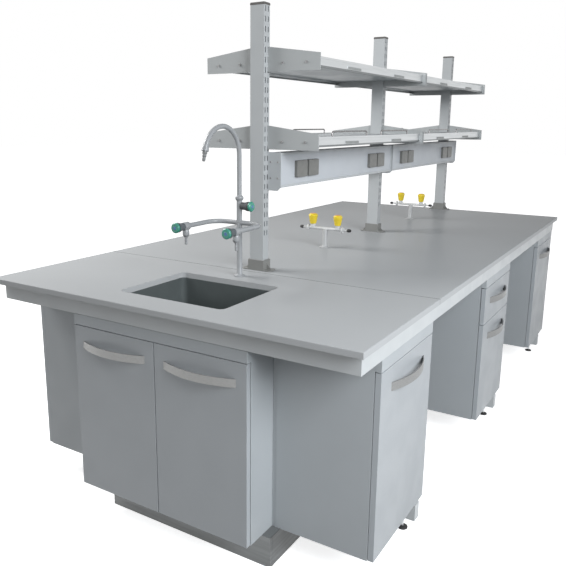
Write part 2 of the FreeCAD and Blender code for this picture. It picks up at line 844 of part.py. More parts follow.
# Cabinet carcasses, drawn with the fronts at Y 0 facing low Y and the underside at Z 0
def carcass(name, width, depth, dividers=(), shelf=True, hole=None, stretcher="stretcher_depth"):
    inner = f"({width} - 2 * board)"
    boards_depth = f"({depth} - {CARCASS_FRONT})"
    clear_depth = f"({boards_depth} - back_board)"
    side_size = ("board", boards_depth, CABINET_HEIGHT)
    boards = [
        block(name + "Left", side_size, ("0", CARCASS_FRONT, "0")),
        block(name + "Right", side_size, (f"({width} - board)", CARCASS_FRONT, "0")),
        block(
            name + "Back",
            (inner, "back_board", f"({CABINET_HEIGHT} - board)"),
            ("board", f"({depth} - back_board)", "board"),
        ),
        block(
            name + "HeadRail",
            (width, CARCASS_FRONT, "head_rail_height"),
            ("0", "0", f"({CABINET_HEIGHT} - head_rail_height)"),
        ),
    ]
    bottom = block(name + "Bottom", (inner, boards_depth, "board"), ("board", CARCASS_FRONT, "0"))
    if hole:
        bottom = cut(name + "BottomHoled", bottom, hole)
    boards.append(bottom)
    for letter, y in (("Front", CARCASS_FRONT), ("Rear", f"({depth} - back_board - {stretcher})")):
        spot = ("board", y, f"({CABINET_HEIGHT} - board)")
        boards.append(block(f"{name}Stretcher{letter}", (inner, stretcher, "board"), spot))
    for number, level in enumerate(dividers, start=1):
        spot = ("board", CARCASS_FRONT, level)
        boards.append(block(f"{name}Divider{number}", (inner, "stretcher_depth", "board"), spot))
    if shelf:
        top = LOWER_DOOR_TOP if dividers else DOOR_TOP
        boards.append(
            block(
                name + "Shelf",
                (inner, f"({clear_depth} - shelf_setback)", "board"),
                ("board", f"({CARCASS_FRONT} + shelf_setback)", f"({top} / 2)"),
            )
        )
    return group(name, boards)


def both_sides(piece, name, place):
    """Stand a cabinet part on each long side: turned half round on the plain side."""
    socket_spot = (along(place), f"(-{FRONT_FACE})", CABINET_UNDERSIDE)
    plain_spot = (along(f"({place} + cabinet_width)"), FRONT_FACE, CABINET_UNDERSIDE)
    return [
        copy_of(piece, name + "Socket", socket_spot),
        copy_of(piece, name + "Plain", plain_spot, 180),
    ]


PIPE_HOLE = "(waste_pipe_radius + pipe_clearance)"
pipe_hole = DOC.addObject("Part::Cylinder", "PipeHole")
bind(pipe_hole, Radius=PIPE_HOLE, Height="(board + 2 * cut_over)")
put(pipe_hole, ("(sink_cabinet_width / 2)", f"({SINK_MIDDLE} + trap_arm - sink_front_inset)", "(-cut_over)"))
sink_carcass = carcass(
    "SinkCarcass",
    "sink_cabinet_width",
    SINK_CABINET_DEPTH,
    shelf=False,
    hole=pipe_hole,
    stretcher="sink_stretcher_depth",
)
sink_spot = (along("sink_front_inset"), "(sink_cabinet_width / 2)", CABINET_UNDERSIDE)
sink_cabinet = copy_of(sink_carcass, "SinkCarcassPlaced", sink_spot, -90)
node(group("SinkCabinet", [sink_cabinet]), "sink_cabinet")

end_carcass = carcass("EndCarcass", "cabinet_width", END_CABINET_DEPTH)
far_carcass = carcass("FarCarcass", "cabinet_width", DEEP_CABINET_DEPTH)
divider_level = f"({LOWER_DOOR_TOP} - board / 2)"
drawer_carcass = carcass("DrawerCarcass", "cabinet_width", DEEP_CABINET_DEPTH, dividers=[divider_level])
door_cabinets = both_sides(end_carcass, "EndCabinet", "end_cabinet_place")
door_cabinets += both_sides(far_carcass, "FarCabinet", FAR_CABINET_PLACE)
node(group("DoorCabinets", door_cabinets), "door_cabinets")
drawer_cabinets = both_sides(drawer_carcass, "DrawerCabinet", DRAWER_CABINET_PLACE)
node(group("DrawerCabinets", drawer_cabinets), "drawer_cabinets")

# The plinth starts behind the doors and ends under the cabinet's back
PLINTH_WIDTH = "(sink_cabinet_width - plinth_narrowing)"
PLINTH_END = f"(sink_front_inset + {SINK_CABINET_DEPTH})"
PLINTH_LOW_Y = f"(-{PLINTH_WIDTH} / 2 - plinth_shift)"
plinth_boards = []
for letter, x in (("Front", "plinth_place"), ("Back", f"({PLINTH_END} - board)")):
    size = ("board", PLINTH_WIDTH, CABINET_UNDERSIDE)
    plinth_boards.append(block("Plinth" + letter, size, (along(x), PLINTH_LOW_Y, "0")))
for letter, y in (("Socket", PLINTH_LOW_Y), ("Plain", f"({PLINTH_WIDTH} / 2 - plinth_shift - board)")):
    size = (f"({PLINTH_END} - plinth_place - 2 * board)", "board", CABINET_UNDERSIDE)
    plinth_boards.append(block("PlinthSide" + letter, size, (along("(plinth_place + board)"), y, "0")))
node(group("SinkPlinth", plinth_boards), "sink_plinth")


# Fronts, drawn like the carcass: X along the width, the face at Y 0, the low edge at Z 0
def front_panel(name, width, height, hinge=None):
    body = new_body(name + "Panel")
    face = sketch_on(body, "XZ_Plane")
    rectangle(face, "0", "0", width, height)
    pad(body, face, "front_thickness", backwards=True)
    soften(body, "front_edge_radius", lambda edge: near(edge.BoundBox.YMax, 0))
    if hinge:
        x = "cup_inset" if hinge == "left" else f"({width} - cup_inset)"
        holes = sketch_on(body, "XZ_Plane", "(-front_thickness)")
        for z in ("cup_end_distance", f"({height} - cup_end_distance)"):
            circle(holes, x, z, "cup_radius")
        pocket(body, holes, "cup_depth", backwards=True)
    return body


def hinge_cup():
    """A hinge cup with its flange on the back of the door, at the cup's centre."""
    body = new_body("HingeCup")
    plate = sketch_on(body, "XZ_Plane")
    half = "(-cup_flange_width / 2)"
    rectangle(plate, "(-cup_flange_height)", half, "(2 * cup_flange_height)", "cup_flange_width")
    pad(body, plate, "cup_flange_thickness", backwards=True)
    cup = sketch_on(body, "XZ_Plane")
    circle(cup, "0", "0", "(cup_radius - running_gap)")
    pad(body, cup, "(cup_depth - running_gap)")
    return body


def hinge_arm():
    """The fixed half of a hinge: a plate on the cabinet side and an arm towards the cup."""
    body = new_body("HingeArm")
    plate = sketch_on(body, "XY_Plane")
    start = "(hinge_arm_length - hinge_plate_length)"
    rectangle(plate, "0", start, "hinge_plate_thickness", "hinge_plate_length")
    pad(body, plate, "hinge_plate_height", middle=True)
    arm = sketch_on(body, "XY_Plane")
    tip_share, bend_share, flat_share = HINGE_ARM_SHARES
    tip = f"(hinge_arm_thickness * {tip_share})"
    outline(arm, [
        ("0", start),
        ("(hinge_arm_thickness / 2)", "0"),
        (tip, "0"),
        (tip, f"(hinge_arm_length * {bend_share})"),
        ("hinge_arm_thickness", f"(hinge_arm_length * {flat_share})"),
        ("hinge_arm_thickness", "hinge_arm_length"),
        ("0", "hinge_arm_length"),
    ])
    pad(body, arm, "hinge_arm_height", middle=True)
    return body


def bow_handle(name):
    """A strip bent to one arc whose ends lie flat on the front, drawn from its middle."""
    body = new_body(name)
    half = "(handle_length / 2)"
    outer_radius = f"(({half} * {half} + handle_bow * handle_bow) / (2 * handle_bow))"
    centre = f"({outer_radius} - handle_bow)"
    drawing = sketch_on(body, "XY_Plane")
    ends = []
    for radius in (outer_radius, f"({outer_radius} - handle_sheet)"):
        size = value(radius)
        rise = value(centre)
        reach = (size * size - rise * rise) ** 0.5
        middle = FreeCAD.Vector(0, rise - size, 0)
        arc = Part.Arc(FreeCAD.Vector(-reach, 0, 0), middle, FreeCAD.Vector(reach, 0, 0))
        geometry = drawing.addGeometry(arc, False)
        pin_point(drawing, geometry, 3, "0", centre)
        hold_radius(drawing, geometry, radius)
        for end in (1, 2):
            drawing.addConstraint(Sketcher.Constraint("PointOnObject", geometry, end, -1))
        ends.append((geometry, drawing.getPoint(geometry, 1), drawing.getPoint(geometry, 2)))
    for end in (1, 2):
        line = drawing.addGeometry(Part.LineSegment(ends[0][end], ends[1][end]), False)
        drawing.addConstraint(Sketcher.Constraint("Coincident", line, 1, ends[0][0], end))
        drawing.addConstraint(Sketcher.Constraint("Coincident", line, 2, ends[1][0], end))
    pad(body, drawing, "handle_height")
    return body


CUP = hinge_cup()
ARM = hinge_arm()
hinge_arms = []


class Stand:
    """Where a front's own X, Y and Z go in the bench."""

    def __init__(self, turn, x, y):
        self.turn = turn
        self.x = x
        self.y = y

    def spot(self, across, inwards, up):
        """The place of a point that is given across the front, inwards and up."""
        if self.turn == 0:
            place = (f"({self.x} + {across})", f"({self.y} + {inwards})")
        elif self.turn == 180:
            place = (f"({self.x} - {across})", f"({self.y} - {inwards})")
        else:
            place = (f"({self.x} + {inwards})", f"({self.y} - {across})")
        return place + (f"({CABINET_UNDERSIDE} + {up})",)


def stands(place):
    return {
        "socket_side": Stand(0, along(place), f"(-{FRONT_FACE})"),
        "plain_side": Stand(180, along(f"({place} + cabinet_width)"), FRONT_FACE),
    }


def add_door(label, stand, left, width, height, hinge):
    name = "".join(word.capitalize() for word in label.split("_"))
    panel = front_panel(name, width, height, hinge)
    pieces = [copy_of(panel, name + "PanelPlaced", stand.spot(left, "0", "front_lift"), stand.turn)]
    x = f"({left} + cup_inset)" if hinge == "left" else f"({left} + {width} - cup_inset)"
    edge = "board" if hinge == "left" else "(sink_cabinet_width - board)"
    levels = ("(front_lift + cup_end_distance)", f"(front_lift + {height} - cup_end_distance)")
    for number, z in enumerate(levels, start=1):
        pieces.append(copy_of(CUP, f"{name}Cup{number}", stand.spot(x, "front_thickness", z), stand.turn))
        inwards = "(front_thickness + cup_flange_thickness + hinge_clearance)"
        arm = ARM if hinge == "left" else ARM_RIGHT
        hinge_arms.append(copy_of(arm, f"{name}Arm{number}", stand.spot(edge, inwards, z), stand.turn))
    node(group(name, pieces), label)


def add_handle(label, stand, middle, top):
    name = "".join(word.capitalize() for word in label.split("_"))
    body = bow_handle(name)
    put(body, stand.spot(middle, "0", f"({top} - handle_drop - handle_height)"), stand.turn)
    node(body, label)


ARM_RIGHT = mirrored(ARM, "HingeArmRight", (1, 0, 0))
SIDE_MARGIN = "(front_reveal / 2)"
DOOR_WIDTH = "(cabinet_width - front_reveal)"
SINK_DOOR_WIDTH = "((sink_cabinet_width - 2 * front_reveal) / 2)"
SINK_STAND = Stand(-90, along("sink_front_inset"), "(sink_cabinet_width / 2)")
SINK_DOORS = {
    "left": (SIDE_MARGIN, "left"),
    "right": (f"(sink_cabinet_width / 2 + {SIDE_MARGIN})", "right"),
}
for side, (left, hinge) in SINK_DOORS.items():
    add_door("sink_door_" + side, SINK_STAND, left, SINK_DOOR_WIDTH, f"({DOOR_TOP} - front_lift)", hinge)
    add_handle("sink_handle_" + side, SINK_STAND, f"({left} + {SINK_DOOR_WIDTH} / 2)", DOOR_TOP)

DOOR_CABINETS = {
    "end": ("end_cabinet_place", DOOR_TOP),
    "middle": (DRAWER_CABINET_PLACE, LOWER_DOOR_TOP),
    "far": (FAR_CABINET_PLACE, DOOR_TOP),
}
for which, (place, top) in DOOR_CABINETS.items():
    for side, stand in stands(place).items():
        add_door(f"{which}_door_{side}", stand, SIDE_MARGIN, DOOR_WIDTH, f"({top} - front_lift)", "left")
        add_handle(f"{which}_handle_{side}", stand, "(cabinet_width / 2)", top)
node(group("HingeArms", hinge_arms), "hinge_arms")

# Drawers and their roller runners
INNER_WIDTH = "(cabinet_width - 2 * board)"
BOX_WIDTH = f"({INNER_WIDTH} - 2 * runner_room)"
BOX_LEFT = "(board + runner_room)"
BOX_LOW = f"({DRAWER_BASE} + drawer_lift)"


ROLLER_HUB = "((runner_room - 2 * runner_sheet - roller_width) / 2)"
ROLLER_Z = "(runner_sheet + runner_gap + roller_radius)"
FLANGE_Z = f"({ROLLER_Z} + roller_radius + runner_gap)"


def runner_roller():
    """A wheel on a short hub, along X from the web that carries it."""
    body = new_body("RunnerRoller")
    drawing = sketch_on(body, "XZ_Plane")
    face = f"({ROLLER_HUB} + roller_width)"
    outline(drawing, [
        ("0", "0"),
        ("0", "roller_hub_radius"),
        (ROLLER_HUB, "roller_hub_radius"),
        (ROLLER_HUB, "roller_radius"),
        (face, "roller_radius"),
        (face, "0"),
    ])
    turned(body, drawing, "H_Axis")
    return body


ROLLER = runner_roller()


def cabinet_runner():
    """The left cabinet side's channel, with the roller at its front that carries the drawer."""
    body = new_body("CabinetChannel")
    section = sketch_on(body, "XZ_Plane")
    outline(section, [
        ("0", "0"),
        ("runner_lip", "0"),
        ("runner_lip", "runner_sheet"),
        ("runner_sheet", "runner_sheet"),
        ("runner_sheet", "(runner_height - runner_sheet)"),
        ("runner_lip", "(runner_height - runner_sheet)"),
        ("runner_lip", "runner_height"),
        ("0", "runner_height"),
    ])
    pad(body, section, RUNNER_LENGTH, backwards=True)
    roller = copy_of(ROLLER, "FrontRoller", ("runner_sheet", "roller_inset", ROLLER_Z))
    return group("CabinetRunner", [body, roller])


def drawer_runner():
    """The left drawer side's angle, with the roller at its rear that runs in the channel."""
    body = new_body("DrawerAngle")
    section = sketch_on(body, "XZ_Plane")
    flange_top = f"({FLANGE_Z} + runner_sheet)"
    flange_edge = f"({ROLLER_HUB} - runner_room + runner_sheet)"
    outline(section, [
        ("0", "(2 * runner_sheet)"),
        ("(-runner_sheet)", "(2 * runner_sheet)"),
        ("(-runner_sheet)", FLANGE_Z),
        (flange_edge, FLANGE_Z),
        (flange_edge, flange_top),
        ("0", flange_top),
    ])
    length = f"({DRAWER_DEPTH} - front_thickness)"
    pad(body, section, length, backwards=True)
    spot = ("(-runner_sheet)", f"({length} - roller_inset)", ROLLER_Z)
    roller = copy_of(ROLLER, "RearRoller", spot, 180)
    return group("DrawerRunner", [body, roller])


CABINET_RUNNER = cabinet_runner()
CABINET_RUNNER_RIGHT = mirrored(CABINET_RUNNER, "CabinetRunnerRight", (1, 0, 0))
DRAWER_RUNNER = drawer_runner()
DRAWER_RUNNER_RIGHT = mirrored(DRAWER_RUNNER, "DrawerRunnerRight", (1, 0, 0))
RUNNER_Z = f"({BOX_LOW} + runner_rise)"


def add_drawer(label, stand):
    name = "".join(word.capitalize() for word in label.split("_"))
    front = front_panel(name, DOOR_WIDTH, "drawer_front_height")
    pieces = [copy_of(front, name + "FrontPlaced", (SIDE_MARGIN, "0", DRAWER_BASE))]
    depth = f"({DRAWER_DEPTH} - front_thickness)"
    between = f"({BOX_WIDTH} - 2 * drawer_side)"
    inner_x = f"({BOX_LEFT} + drawer_side)"
    right_x = f"({BOX_LEFT} + {BOX_WIDTH} - drawer_side)"
    rear_y = f"({DRAWER_DEPTH} - drawer_side)"
    boards = {
        "Left": (("drawer_side", depth, "drawer_height"), (BOX_LEFT, "front_thickness", BOX_LOW)),
        "Right": (("drawer_side", depth, "drawer_height"), (right_x, "front_thickness", BOX_LOW)),
        "Inner": ((between, "drawer_side", "drawer_height"), (inner_x, "front_thickness", BOX_LOW)),
        "Rear": ((between, "drawer_side", "drawer_height"), (inner_x, rear_y, BOX_LOW)),
        "Bottom": (
            (between, f"({depth} - 2 * drawer_side)", "drawer_bottom"),
            (inner_x, "(front_thickness + drawer_side)", f"({BOX_LOW} + drawer_bottom_lift)"),
        ),
    }
    for part, (size, place) in boards.items():
        pieces.append(block(name + part, size, place))
    left = (BOX_LEFT, "front_thickness", RUNNER_Z)
    right = (f"({BOX_LEFT} + {BOX_WIDTH})", "front_thickness", RUNNER_Z)
    pieces.append(copy_of(DRAWER_RUNNER, name + "RunnerLeft", left))
    pieces.append(copy_of(DRAWER_RUNNER_RIGHT, name + "RunnerRight", right))
    built = group(name + "Built", pieces)
    node(group(name, [copy_of(built, name + "Placed", stand.spot("0", "0", "0"), stand.turn)]), label)
    add_handle(label.replace("drawer", "drawer_handle"), stand, "(cabinet_width / 2)", DOOR_TOP)


runners = []
for side, stand in stands(DRAWER_CABINET_PLACE).items():
    add_drawer("drawer_" + side, stand)
    which = side.split("_")[0].capitalize()
    spot = stand.spot("board", CARCASS_FRONT, RUNNER_Z)
    runners.append(copy_of(CABINET_RUNNER, f"RunnerLeft{which}", spot, stand.turn))
    spot = stand.spot("(cabinet_width - board)", CARCASS_FRONT, RUNNER_Z)
    runners.append(copy_of(CABINET_RUNNER_RIGHT, f"RunnerRight{which}", spot, stand.turn))
node(group("DrawerRunners", runners), "drawer_runners")

# Reagent rack
UPRIGHT_HEIGHT = "(rack_height - cap_thickness)"


def slotted_upright():
    """A rectangular tube with two columns of slots through each wide face."""
    body = new_body("Upright")
    section = sketch_on(body, "XY_Plane")
    rectangle(section, "(-upright_length / 2)", "(-upright_depth / 2)", "upright_length", "upright_depth")
    inner = "(upright_length - 2 * tube_wall)", "(upright_depth - 2 * tube_wall)"
    rectangle(section, f"(-{inner[0]} / 2)", f"(-{inner[1]} / 2)", inner[0], inner[1])
    pad(body, section, UPRIGHT_HEIGHT)
    slots = sketch_on(body, "XZ_Plane")
    for sign in ("-", ""):
        rectangle(slots, f"({sign}column_spread - slot_width / 2)", "slot_start", "slot_width", "slot_length")
    row = through(body, slots)
    pattern = body.newObject("PartDesign::LinearPattern", "SlotRows")
    pattern.Originals = [row]
    pattern.Direction = (body_axis(body, "Z_Axis"), [""])
    bind(pattern, Length=f"(slot_pitch * {SLOT_ROWS - 1})")
    pattern.Occurrences = SLOT_ROWS
    body.Tip = pattern
    return body


upright = slotted_upright()
node(group("RackUprights", [
    copy_of(upright, f"Upright{number}", (along(place), "0", "worktop_height"))
    for number, place in enumerate(UPRIGHT_PLACES, start=1)
]), "rack_uprights")


def upright_shoe():
    """A socket on a foot plate, with a rib to each end of the plate."""
    body = new_body("UprightShoe")
    wide = "(upright_length + 2 * shoe_wall)"
    deep = "(upright_depth + 2 * shoe_wall)"
    plate = sketch_on(body, "XY_Plane")
    rectangle(plate, f"(-{wide} / 2)", "(-shoe_flange_depth / 2)", wide, "shoe_flange_depth")
    pad(body, plate, "shoe_flange_thickness")
    soften(body, "(2 * shoe_wall)", upright_edge)
    collar = sketch_on(body, "XY_Plane")
    rectangle(collar, f"(-{wide} / 2)", f"(-{deep} / 2)", wide, deep)
    pad(body, collar, "shoe_height")
    ribs = sketch_on(body, "YZ_Plane")
    outline(ribs, [
        (f"(-{deep} / 2 - shoe_rib_reach)", "shoe_flange_thickness"),
        (f"({deep} / 2 + shoe_rib_reach)", "shoe_flange_thickness"),
        (f"({deep} / 2)", "(shoe_flange_thickness + shoe_rib_height)"),
        (f"(-{deep} / 2)", "(shoe_flange_thickness + shoe_rib_height)"),
    ])
    pad(body, ribs, "shoe_rib", middle=True)
    seat = sketch_on(body, "XY_Plane", "shoe_height")
    seat_wide = "(upright_length + 2 * shoe_clearance)"
    seat_deep = "(upright_depth + 2 * shoe_clearance)"
    rectangle(seat, f"(-{seat_wide} / 2)", f"(-{seat_deep} / 2)", seat_wide, seat_deep)
    through(body, seat)
    return body


shoe = upright_shoe()
node(group("UprightShoes", [
    copy_of(shoe, f"Shoe{number}", (along(place), "0", "worktop_height"))
    for number, place in enumerate(UPRIGHT_PLACES, start=1)
]), "upright_shoes")


def shelf_bracket():
    """A cantilever plate with a level underside and a sloping top, root at the upright's face."""
    body = new_body("ShelfBracket")
    root = "(-upright_depth / 2)"
    tip = "(-upright_depth / 2 - bracket_reach)"
    side = sketch_on(body, "YZ_Plane")
    outline(side, [(root, "0"), (root, "bracket_root"), (tip, "bracket_tip"), (tip, "0")])
    pad(body, side, "bracket_sheet", middle=True)
    holes = sketch_on(body, "YZ_Plane")
    for reach in ("bracket_bolt_near", "bracket_bolt_far"):
        circle(holes, f"(-upright_depth / 2 - {reach})", "bracket_bolt_rise", "bracket_bolt_radius")
    through(body, holes)
    return body


BAYS = []
for first, second in zip(UPRIGHT_PLACES, UPRIGHT_PLACES[1:]):
    BAYS.append((f"({first} + column_spread)", f"({second} - column_spread)"))
LEVELS = {
    "Lower": "(worktop_height + lower_bracket_level)",
    "Upper": "(worktop_height + upper_bracket_level)",
}

bracket = shelf_bracket()
brackets = []
for number, bay in enumerate(BAYS, start=1):
    for end, place in zip(("Start", "End"), bay):
        for level, z in LEVELS.items():
            name = f"Bracket{level}{number}{end}"
            brackets.append(copy_of(bracket, name + "Socket", (along(place), "0", z)))
            brackets.append(copy_of(bracket, name + "Plain", (along(place), "0", z), 180))
node(group("ShelfBrackets", brackets), "shelf_brackets")

SHELF_LENGTH = f"({UPRIGHT_PITCH} - 2 * column_spread - bracket_sheet - 2 * shelf_end_gap)"
STRIP_INNER = "(shelf_half_depth - shelf_strip_sheet)"
GUARD_SHIFT = "(guard_offset + guard_length / 2)"


def shelf_panel():
    """One shelf board, notched round the upright at each end."""
    body = new_body("ShelfPanel")
    face = sketch_on(body, "XY_Plane")
    notch = "(upright_depth / 2 + shelf_notch_gap)"
    notch_x = "(upright_length / 2 - column_spread - bracket_sheet / 2 - shelf_end_gap + shelf_notch_gap)"
    half = f"({SHELF_LENGTH} / 2)"
    deep = STRIP_INNER
    outline(face, [
        (f"(-{half})", f"(-{deep})"),
        (half, f"(-{deep})"),
        (half, f"(-{notch})"),
        (f"({half} - {notch_x})", f"(-{notch})"),
        (f"({half} - {notch_x})", notch),
        (half, notch),
        (half, deep),
        (f"(-{half})", deep),
        (f"(-{half})", notch),
        (f"({notch_x} - {half})", notch),
        (f"({notch_x} - {half})", f"(-{notch})"),
        (f"(-{half})", f"(-{notch})"),
    ])
    pad(body, face, "shelf_board")
    return body


def shelf_strip():
    """The edge profile: a tall face with a lip under the board and one over its edge."""
    body = new_body("ShelfStrip")
    section = sketch_on(body, "YZ_Plane")
    face = "(-shelf_half_depth)"
    inner = f"(-{STRIP_INNER})"
    lip = f"(shelf_strip_lip - {STRIP_INNER})"
    board_low = "(shelf_strip_height - shelf_board_drop - shelf_board)"
    outline(section, [
        (face, "0"),
        (lip, "0"),
        (lip, "shelf_strip_sheet"),
        (inner, "shelf_strip_sheet"),
        (inner, f"({board_low} - shelf_strip_sheet)"),
        (lip, f"({board_low} - shelf_strip_sheet)"),
        (lip, board_low),
        (inner, board_low),
        (inner, "shelf_strip_height"),
        (face, "shelf_strip_height"),
        (face, "(strip_groove_rise + strip_groove)"),
        ("(strip_groove - shelf_half_depth)", "(strip_groove_rise + strip_groove)"),
        ("(strip_groove - shelf_half_depth)", "strip_groove_rise"),
        (face, "strip_groove_rise"),
    ])
    pad(body, section, SHELF_LENGTH, middle=True)
    return body


def label_holder():
    """A low channel on a strip's face that a card slides into from its end."""
    body = new_body("LabelHolder")
    face = "(-shelf_half_depth)"
    outer = "(-shelf_half_depth - label_sheet)"
    bed = "(-shelf_half_depth - label_sheet + label_recess)"
    high = "(label_height - label_edge)"
    section = sketch_on(body, "YZ_Plane")
    outline(section, [
        (face, "0"),
        (outer, "0"),
        (outer, "label_edge"),
        (bed, "label_edge"),
        (bed, high),
        (outer, high),
        (outer, "label_height"),
        (face, "label_height"),
    ])
    pad(body, section, "label_length", middle=True)
    return body


panel = shelf_panel()
strip = shelf_strip()
holder = label_holder()
shelves = []
strips = []
for number, (start, end) in enumerate(BAYS, start=1):
    middle = along(f"(({start} + {end}) / 2)")
    for level, z in LEVELS.items():
        low = f"({z} + shelf_rise)"
        board_z = f"({low} + shelf_strip_height - shelf_board_drop - shelf_board)"
        shelves.append(copy_of(panel, f"Shelf{level}{number}", (middle, "0", board_z)))
        strips.append(copy_of(strip, f"Strip{level}{number}Socket", (middle, "0", low)))
        strips.append(copy_of(strip, f"Strip{level}{number}Plain", (middle, "0", low), 180))
        for letter, sign in (("Low", "-"), ("High", "+")):
            spot = (f"({middle} {sign} {GUARD_SHIFT})", "0", f"({low} + label_rise)")
            name = f"Label{level}{number}{letter}"
            strips.append(copy_of(holder, name + "Socket", spot))
            strips.append(copy_of(holder, name + "Plain", spot, 180))
node(group("RackShelves", shelves), "rack_shelves")
node(group("ShelfEdgeStrips", strips), "shelf_edge_strips")


def guard_rail():
    """A bent rod with two legs down to the shelf."""
    body = new_body("GuardRail")
    path = sketch_on(body, "XZ_Plane")
    half = value("guard_length / 2")
    top = value("guard_height - guard_radius")
    bend = value("guard_bend")
    corner = bend * DIAGONAL_SHARE
    spots = [
        FreeCAD.Vector(-half, 0, 0),
        FreeCAD.Vector(-half, top - bend, 0),
        FreeCAD.Vector(-half + corner, top - corner, 0),
        FreeCAD.Vector(-half + bend, top, 0),
        FreeCAD.Vector(half - bend, top, 0),
        FreeCAD.Vector(half - corner, top - corner, 0),
        FreeCAD.Vector(half, top - bend, 0),
        FreeCAD.Vector(half, 0, 0),
    ]
    path.addGeometry([
        Part.LineSegment(spots[0], spots[1]),
        Part.Arc(spots[1], spots[2], spots[3]),
        Part.LineSegment(spots[3], spots[4]),
        Part.Arc(spots[4], spots[5], spots[6]),
        Part.LineSegment(spots[6], spots[7]),
    ], False)
    joins = [(0, 2, 1, 2), (1, 1, 2, 1), (2, 2, 3, 2), (3, 1, 4, 1)]
    for first, first_end, second, second_end in joins:
        path.addConstraint(Sketcher.Constraint("Tangent", first, first_end, second, second_end))
    pin_point(path, 0, 1, "(-guard_length / 2)", "0")
    pin_point(path, 4, 2, "(guard_length / 2)", "0")
    path.addConstraint(Sketcher.Constraint("Vertical", 0))
    path.addConstraint(Sketcher.Constraint("Vertical", 4))
    path.addConstraint(Sketcher.Constraint("Horizontal", 2))
    for geometry in (1, 3):
        hold_radius(path, geometry, "guard_bend")
    height = path.addConstraint(Sketcher.Constraint("DistanceY", -1, 1, 2, 1, top))
    path.setExpression(f"Constraints[{height}]", rule("(guard_height - guard_radius)"))
    ring = sketch_on(body, "XY_Plane")
    circle(ring, "(-guard_length / 2)", "0", "guard_radius")
    pipe(body, ring, path)
    return body


rail = guard_rail()
guard_rails = []
GUARD_Y = f"({STRIP_INNER} - guard_inset - guard_radius)"
for number, (start, end) in enumerate(BAYS, start=1):
    middle = f"(({start} + {end}) / 2)"
    level = f"({LEVELS['Lower']} + shelf_rise + shelf_strip_height - shelf_board_drop)"
    for letter, sign in (("Low", "-"), ("High", "+")):
        place = along(f"({middle} {sign} {GUARD_SHIFT})")
        for side, y in (("Socket", f"(-{GUARD_Y})"), ("Plain", GUARD_Y)):
            guard_rails.append(copy_of(rail, f"Guard{number}{letter}{side}", (place, y, level)))
node(group("GuardRails", guard_rails), "guard_rails")

# Socket duct, one length in each bay
DUCT_LOW = "(worktop_height + duct_rise)"
DUCT_LENGTH = f"({UPRIGHT_PITCH} - 2 * column_spread - 2 * duct_plate_sheet - bracket_sheet)"
DUCT_BACK = "(-upright_depth / 2)"
SOCKET_FACE = f"({DUCT_BACK} - duct_depth + duct_front_set)"


def duct_length():
    """A channel with turned lips and a front cover between them, closed behind."""
    body = new_body("DuctLength")
    section = sketch_on(body, "YZ_Plane")
    outline(section, [
        (DUCT_BACK, "0"),
        (DUCT_BACK, "duct_height"),
        (f"({DUCT_BACK} - duct_depth)", "duct_height"),
        (f"({DUCT_BACK} - duct_depth)", "(duct_height - duct_lip)"),
        (SOCKET_FACE, "(duct_height - duct_lip)"),
        (SOCKET_FACE, "duct_lip"),
        (f"({DUCT_BACK} - duct_depth)", "duct_lip"),
        (f"({DUCT_BACK} - duct_depth)", "0"),
    ])
    pad(body, section, DUCT_LENGTH, middle=True)
    return body


def duct_end_plate():
    body = new_body("DuctEndPlate")
    side = sketch_on(body, "YZ_Plane")
    outer = f"({DUCT_BACK} - duct_plate_depth)"
    outline(side, [
        (DUCT_BACK, "0"),
        (DUCT_BACK, "duct_plate_height"),
        (outer, "duct_plate_height"),
        (outer, "duct_plate_chamfer"),
        (f"({outer} + duct_plate_chamfer)", "0"),
    ])
    pad(body, side, "duct_plate_sheet", middle=True)
    return body


duct = duct_length()
end_plate = duct_end_plate()
duct_pieces = []
socket_spots = []
for number, (start, end) in enumerate(BAYS, start=1):
    middle = f"(({start} + {end}) / 2)"
    duct_pieces.append(copy_of(duct, f"Duct{number}", (along(middle), "0", DUCT_LOW)))
    for letter, sign in (("Start", "-"), ("End", "+")):
        place = along(f"({middle} {sign} ({DUCT_LENGTH} + duct_plate_sheet) / 2)")
        spot = (place, "0", f"({DUCT_LOW} - duct_plate_drop)")
        duct_pieces.append(copy_of(end_plate, f"DuctPlate{number}{letter}", spot))
    first = f"({middle} - {DUCT_LENGTH} / 2 + socket_end_distance)"
    last = f"({middle} + {DUCT_LENGTH} / 2 - socket_end_distance)"
    step = "(socket_width + socket_pair_gap)"
    socket_spots += [
        f"({first} + socket_width / 2)",
        f"({first} + socket_width / 2 + {step})",
        f"({last} - socket_width / 2 - {step})",
        f"({last} - socket_width / 2)",
    ]
node(group("SocketDucts", duct_pieces), "socket_ducts")

SOCKET_Z = f"({DUCT_LOW} + duct_height / 2)"


def socket_insert():
    """A low box on the duct's cover with pin slots, its back at Y 0."""
    body = new_body("SocketInsert")
    inner_width = "(socket_width - 2 * lid_wall - 2 * lid_clearance)"
    inner_height = "(socket_height - 2 * lid_wall - 2 * lid_clearance)"
    face = sketch_on(body, "XZ_Plane")
    rectangle(face, f"(-{inner_width} / 2)", f"(-{inner_height} / 2)", inner_width, inner_height)
    pad(body, face, "socket_base")
    slots = sketch_on(body, "XZ_Plane", "socket_base")
    for sign in ("-", ""):
        rectangle(
            slots,
            f"({sign}pin_spread - pin_slot_width / 2)",
            "(-pin_slot_length)",
            "pin_slot_width",
            "pin_slot_length",
        )
    rectangle(slots, "(-pin_slot_width / 2)", "(pin_slot_length / 2)", "pin_slot_width", "pin_slot_length")
    pocket(body, slots, "pin_slot_depth")
    return body


